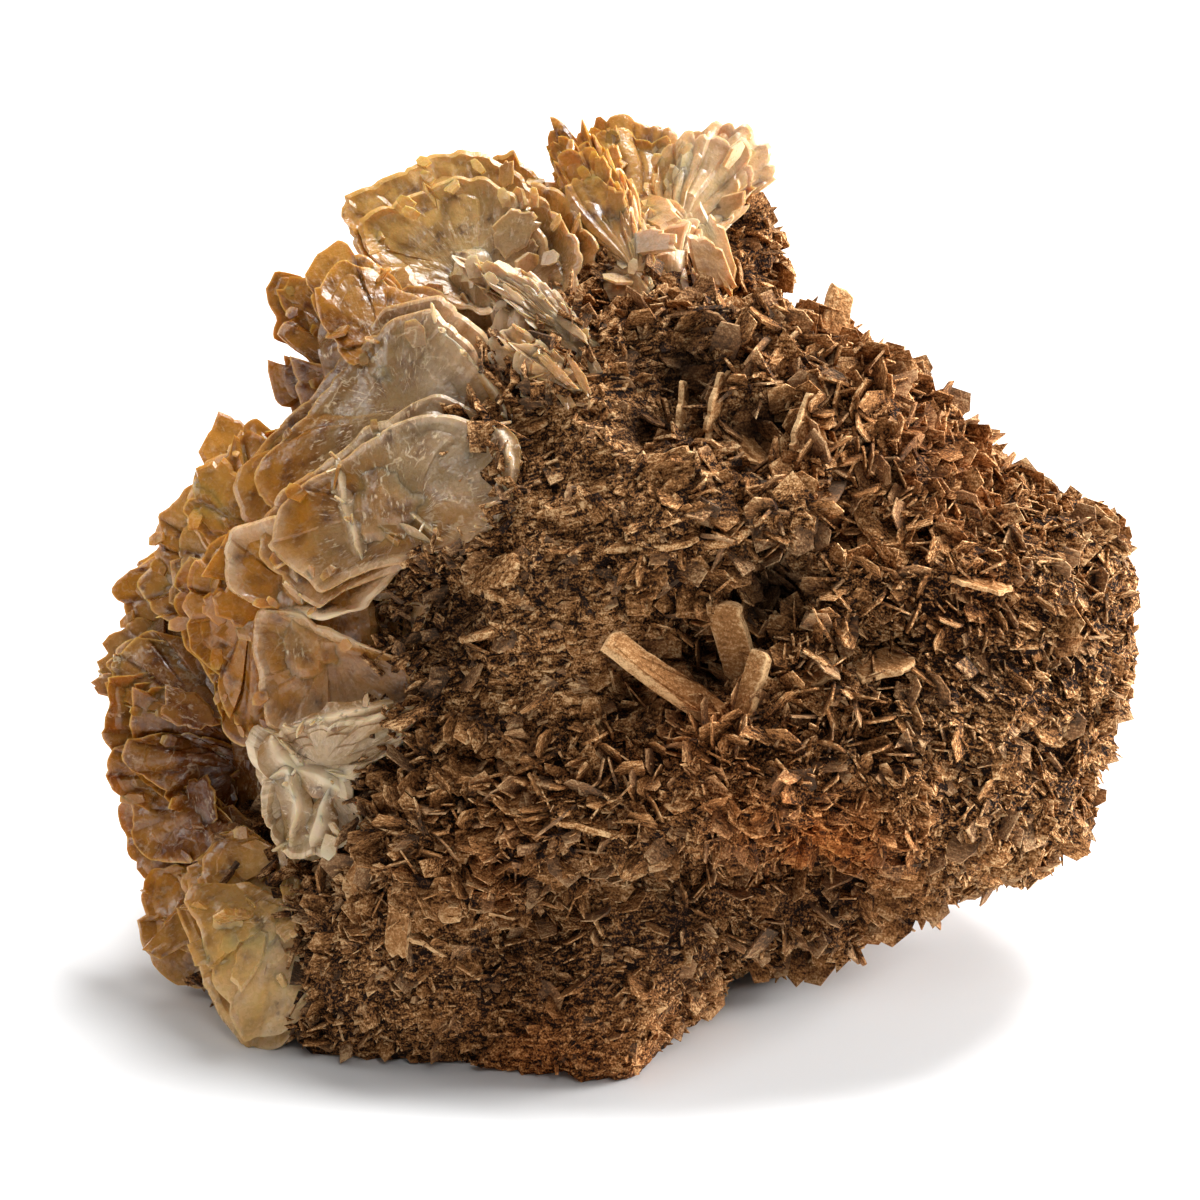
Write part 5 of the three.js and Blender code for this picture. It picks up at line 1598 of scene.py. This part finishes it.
walls = {
    "profile": [  # share of the foot's half width, share of the height, and the nearness to the top
        (1.0, -1.2, 0), (1.0, -0.1, 0), (0.68, 0.10, 0.12), (0.40, 0.34, 0.4), (0.20, 0.70, 0.8),
        (0.05, 1.0, 1), (-0.05, 0.96, 1), (-0.24, 0.66, 0.8), (-0.44, 0.32, 0.4), (-0.72, 0.08, 0.12),
        (-1.0, -0.1, 0), (-1.0, -1.2, 0)],
    "foot": 2.0,  # the foot is so many times wider than the list says
    "low": 0.6,  # and the height is this share of the list's
    "sliver": {"every": 2.8, "size": 2.4, "narrow": 0.4},  # small plates that stand along the crest
    "step": 0.6,
    "rounding": 2,
    "out": (-0.25, 0.15, 1),
    "look": {**bladeLook, "honey": 0.20, "rimHoney": 0.1, "frost": 0.75},
    "each": [  # the crest and the blade that it stands on, width, height, and the path
        (pocketBlades, 2, 2.6, 3.0, [
            (-43.4, 64.5), (-40.6, 67.4), (-36.9, 70.3), (-33.7, 73.1), (-33.4, 76.9), (-31.3, 78.9)]),
        (rimmedBlade, 0, 1.1, 1.1, [
            (-39.7, 87.4), (-39, 84.9), (-38.6, 81.4), (-37.4, 77.9), (-36.9, 75), (-36.4, 71.7)]),
        (longBlade, 0, 1.2, 1.2, [
            (-27, 107), (-23, 103), (-20.5, 99.5), (-19.5, 95)]),
        (rimmedBlade, 0, 1.4, 1.3, [
            (-22, 95), (-19.8, 91.5), (-19, 87), (-21, 81.5), (-24.5, 77.5)]),
        (rimmedBlade, 0, 1.0, 0.9, [
            (-33, 82), (-29, 78), (-27.5, 75.5)]),
        (whiteRimBlades, 0, 3.4, 3.0, [
            (-48.6, 48.9), (-47.7, 46.7), (-45.9, 43.9), (-42.7, 43.3), (-39.6, 41.6), (-37.7, 39.9)]),
        (whiteRimBlades, 2, 2.4, 2.6, [
            (-49.1, 42), (-45.6, 43.6), (-46, 41.1), (-44.9, 38.7), (-45.3, 35.4), (-46.6, 32.2)]),
        (whiteRimBlades, 2, 2.8, 2.6, [
            (-39.6, 41.8), (-41.4, 38.6), (-41.7, 35.7), (-43.3, 31.8)]),
        (whiteRimBlades, 0, 2.4, 2.2, [
            (-46.6, 49), (-42.9, 50.4), (-38.6, 51.2), (-34.5, 52.4)]),
        (pocketBlades, 0, 2.2, 1.6, [
            (-46.5, 73.5), (-45.5, 71), (-44.6, 68.4), (-44, 66)]),
    ],
}


def wallShell(crest, blade, foot, height, path, seed):
    # A ridge with hollow flanks, carried along the path on the plane of the blade that it stands on. Its
    # width and height change with soft noise, it leans to and fro, and it shrinks to nothing at both ends.
    path = np.array(path, float)
    origin, axes = drawnFrame(crest["blades"][blade])
    depth = origin[2] + path @ axes[:2, 2] + crest["blades"][blade][2] * 0.7
    path = np.concatenate([path, depth[:, None]], 1)
    along = lengthsAlong(path)
    count = int(along[-1] / walls["step"])
    s = np.linspace(0, along[-1], count)
    line = pointsAt(s, along, path)
    reach = walls["rounding"]
    line = np.concatenate([np.repeat(line[:1], reach, 0), line, np.repeat(line[-1:], reach, 0)])
    line = sunkDown(movingMean(line, reach))
    ahead = unit(np.gradient(line, axis=0))
    up = np.array(walls["out"], float)
    up = unit(up - ahead * (ahead @ up)[:, None])
    right = np.cross(ahead, up)
    across, rise, near = np.array(walls["profile"]).T
    taper = np.sqrt(np.clip(np.minimum(s, along[-1] - s) / 3.5, 0.03, 1))
    taper = taper * (0.45 + 0.55 * smoothStep(-0.35, 0.15, softNoise(line, 6, seed + 9)))
    wide = foot * walls["foot"] / 2 * taper * (1 + 0.45 * softNoise(line, 4, seed))
    ragged = 1 + 0.5 * softNoise(line, 3.2, seed + 1) + 0.4 * softNoise(line, 1.3, seed + 6)
    tall = height * walls["low"] * taper * ragged
    lean = 0.35 * softNoise(line, 6, seed + 5)[:, None] * np.clip(rise, 0, 1) * tall[:, None]
    ring = line[:, None] + right[:, None] * (across * wide[:, None] + lean)[..., None]
    ring = ring + up[:, None] * (rise * tall[:, None])[..., None]
    ring += 0.25 * noiseVectors(ring, 1.8, (seed + 2, seed + 3, seed + 4))
    points = np.concatenate([ring.reshape(-1, 3), line[[0, -1]]])
    edge = np.append(np.tile(near, count), [0, 0])
    turn = np.append(np.repeat(s, len(near)), [0, 0])
    values = crystalValues(points, 0.6 * edge, edge, turn, 4 * edge, walls["look"], 0.5)
    values["frost"] = np.clip(values["frost"] * (0.1 + 1.1 * edge), 0, 1)
    return {
        "points": points, "faces": shellFaces(count, len(near)), "values": values,
        "line": line + up * tall[:, None] * 0.4, "ahead": ahead, "up": up, "right": right,
    }


def sliverShell(wallShells, seed):
    # Small frosted plates along the crests of the walls, each turned at random between along and across.
    random = np.random.default_rng(seed)
    keys = ("line", "ahead", "up", "right")
    line, ahead, up, right = (np.concatenate([wall[key] for wall in wallShells]) for key in keys)
    sliver = walls["sliver"]
    count = int(len(line) * walls["step"] / sliver["every"])
    pick = random.choice(len(line), count, replace=False)
    turn = random.uniform(-1.3, 1.3, (count, 1))
    facing = right[pick] * np.cos(turn) + ahead[pick] * np.sin(turn)
    out = unit(up[pick] + 0.55 * random.normal(size=(count, 3)))
    size = sliver["size"] * np.exp(random.normal(0, 0.3, count))
    width = size * random.uniform(0.7, 1.2, count) * sliver["narrow"]
    batch = petalBatch(line[pick], out, facing, size, width, np.clip(size * 0.14, 0.3, 0.6), random)
    tone = np.repeat(random.random(count), batch["per"])
    points, edge, look = batch["points"], batch["edge"], walls["look"]
    values = crystalValues(points, edge, 0.3 * edge, batch["turn"], batch["reach"], look, tone)
    values["frost"] = np.clip(values["frost"] * (0.4 + 0.8 * tone), 0, 1)
    return {**batch, "values": values}


wallShells = [wallShell(*wall, 700 + 10 * number) for number, wall in enumerate(walls["each"])]
wallShells.append(sliverShell(wallShells, 790))
walled = ["pocket_blades", "white_rim_blades", "rimmed_blade", "long_blade"]
triangles += addPiece("pocket_walls", wallShells, bariteMaterial, walled, sharp=0.9)


# rock that is banked up where the blades meet the lump

rubble = {
    "seed": 61,
    "count": 3800,
    "over": (-3, 13),  # how far over the lump a rim may lie and still be banked up
    "nearest": 4,  # and how far towards the viewer it has to be
    "highest": 6,
    "size": 1.7,
    "scatter": 0.8,
    "low": 0.10,
    "rise": 0.66,
}


def rubbleShell(leaves):
    # Flakes between the rims of the blades and the lump below them: each foot lies a random share of the way
    # up from the lump's surface to a rim point, but not over `highest`, and is moved a little at random.
    random = np.random.default_rng(rubble["seed"])
    rim = np.concatenate([leaf["rim"]["points"] for leaf in leaves])
    surface, over = overLump(rim)
    near = (over > rubble["over"][0]) & (over < rubble["over"][1]) & (rim[:, 2] > rubble["nearest"])
    pick = random.choice(np.nonzero(near)[0], rubble["count"])
    count = len(pick)
    share = random.uniform(0, 1, count) ** 0.7 * np.minimum(1, rubble["highest"] / np.maximum(over[pick], 1))
    at = surface[pick] + (rim[pick] - surface[pick]) * share[:, None]
    at += rubble["scatter"] * random.normal(size=at.shape)
    out = unit(unit(rim[pick] - lump["heart"]) + 0.7 * random.normal(size=at.shape))
    size = rubble["size"] * np.exp(random.normal(0, 0.4, count))
    width = size * random.uniform(0.5, 1.3, count)
    shape = roughShape("four", count, 0.1, random)
    facing = random.normal(size=at.shape)
    batch = keptInside(plateBatch(at, out, facing, size, width, size * 0.2, shape, random.random(count)))
    # painted shade at the foot of each flake, rising to painted light at its tip
    tip = rubble["low"] + rubble["rise"] * batch["tip"]
    return {**batch, "values": rockValues(batch["points"], tip, batch["tone"], 0.1)}


banked = [rubbleShell(bankedLeaves)]
triangles += addPiece("banked_flakes", banked, rockMaterial, ["matrix"], smooth=False)
print("front crystals ready,", triangles, "triangles so far")


# the crystals of the left and back faces

fans = {
    "look": {**bladeLook, "honey": 0.60, "rimHoney": 0.3, "layers": 2, "full": False, "cell": 6.0,
             "uneven": 1.0, "notch": 0.6, "ribs": 0.5, "spacing": 1.15, "petalEvery": 18.0, "petalSize": 8.0,
             "crystalEvery": 14.0, "loose": 0.8, "dark": 0.15},
    "blades": 5,
    "spread": math.radians(68),
    "thick": 3.4,
    "corners": 9,
    "notch": 0.10,
    "each": {  # where the blades meet, the way they point, the way their flats look, height and width
        "left_low_fan": ((-45, 28, -14), (-1, -0.1, -0.45), (0.1, 1, 0.2), 19, 30),
        "left_middle_fan": ((-43, 51, -16), (-1, 0.05, -0.4), (0.3, 0.2, 1), 24, 34),
        "left_high_fan": ((-38, 76, -16), (-0.8, 0.4, -0.45), (0.2, 1, 0.3), 22, 34),
        "crown_fan": ((-16, 98, -18), (-0.3, 0.8, -0.5), (0.8, 0.5, 0.3), 23, 38),
        "back_foot_fan": ((-32, 36, -28), (-0.65, -0.1, -0.8), (0.2, 1, 0.1), 22, 36),
        "back_left_fan": ((-29, 62, -28), (-0.7, 0.1, -0.8), (1, 0.3, -0.6), 22, 38),
        "back_crown_fan": ((6, 92, -28), (-0.05, 0.5, -0.9), (1, 0.5, 0.2), 19, 38),
        "back_middle_fan": ((-10, 76, -33), (-0.3, 0.2, -1), (0.2, 1, 0.1), 20, 38),
        "back_low_fan": ((-8, 46, -35), (-0.25, -0.1, -1), (1, 0.3, -0.2), 19, 38),
    },
}


def crestOutline(reach, width):
    # Half round, from the root along the second axis, with every other corner drawn in by the notch.
    angle = np.pi * np.arange(fans["corners"]) / (fans["corners"] - 1)
    size = 1 - fans["notch"] * (np.arange(fans["corners"]) % 2)
    crest = np.stack([width / 2 * np.cos(angle) * size, reach * (0.35 + 0.65 * np.sin(angle)) * size], 1)
    return [(-width / 5, -reach / 5), (width / 5, -reach / 5), *map(tuple, crest)]


def growFan(name, seed):
    # Blades that share a root open like the leaves of a book about their common width.
    at, out, face, reach, width = fans["each"][name]
    up = unit(np.array(out, float))
    across = unit(np.cross(up, face))
    normal = np.cross(across, up)
    leaves = []
    for index in range(fans["blades"]):
        share = index / (fans["blades"] - 1) - 0.5
        size = 1 - 0.3 * abs(share) - 0.05 * (index % 2)
        yaw, pitch = share, share * fans["spread"]
        first = across * math.cos(yaw) - normal * math.sin(yaw)
        second = up * math.cos(pitch) + normal * math.sin(pitch)
        axes = np.array([first, second, unit(np.cross(first, second))])
        outline = crestOutline(reach * size, width * size)
        leaves += leavesOf(outline, at, axes, fans["thick"], np.zeros(2), fans["look"], seed + index * 3)
    return dressed(name, leaves, leaves, fans["look"], seed)


for number, fanName in enumerate(fans["each"]):
    triangles += growFan(fanName, 400 + 20 * number)
print("all crystals ready,", triangles, "triangles in all")
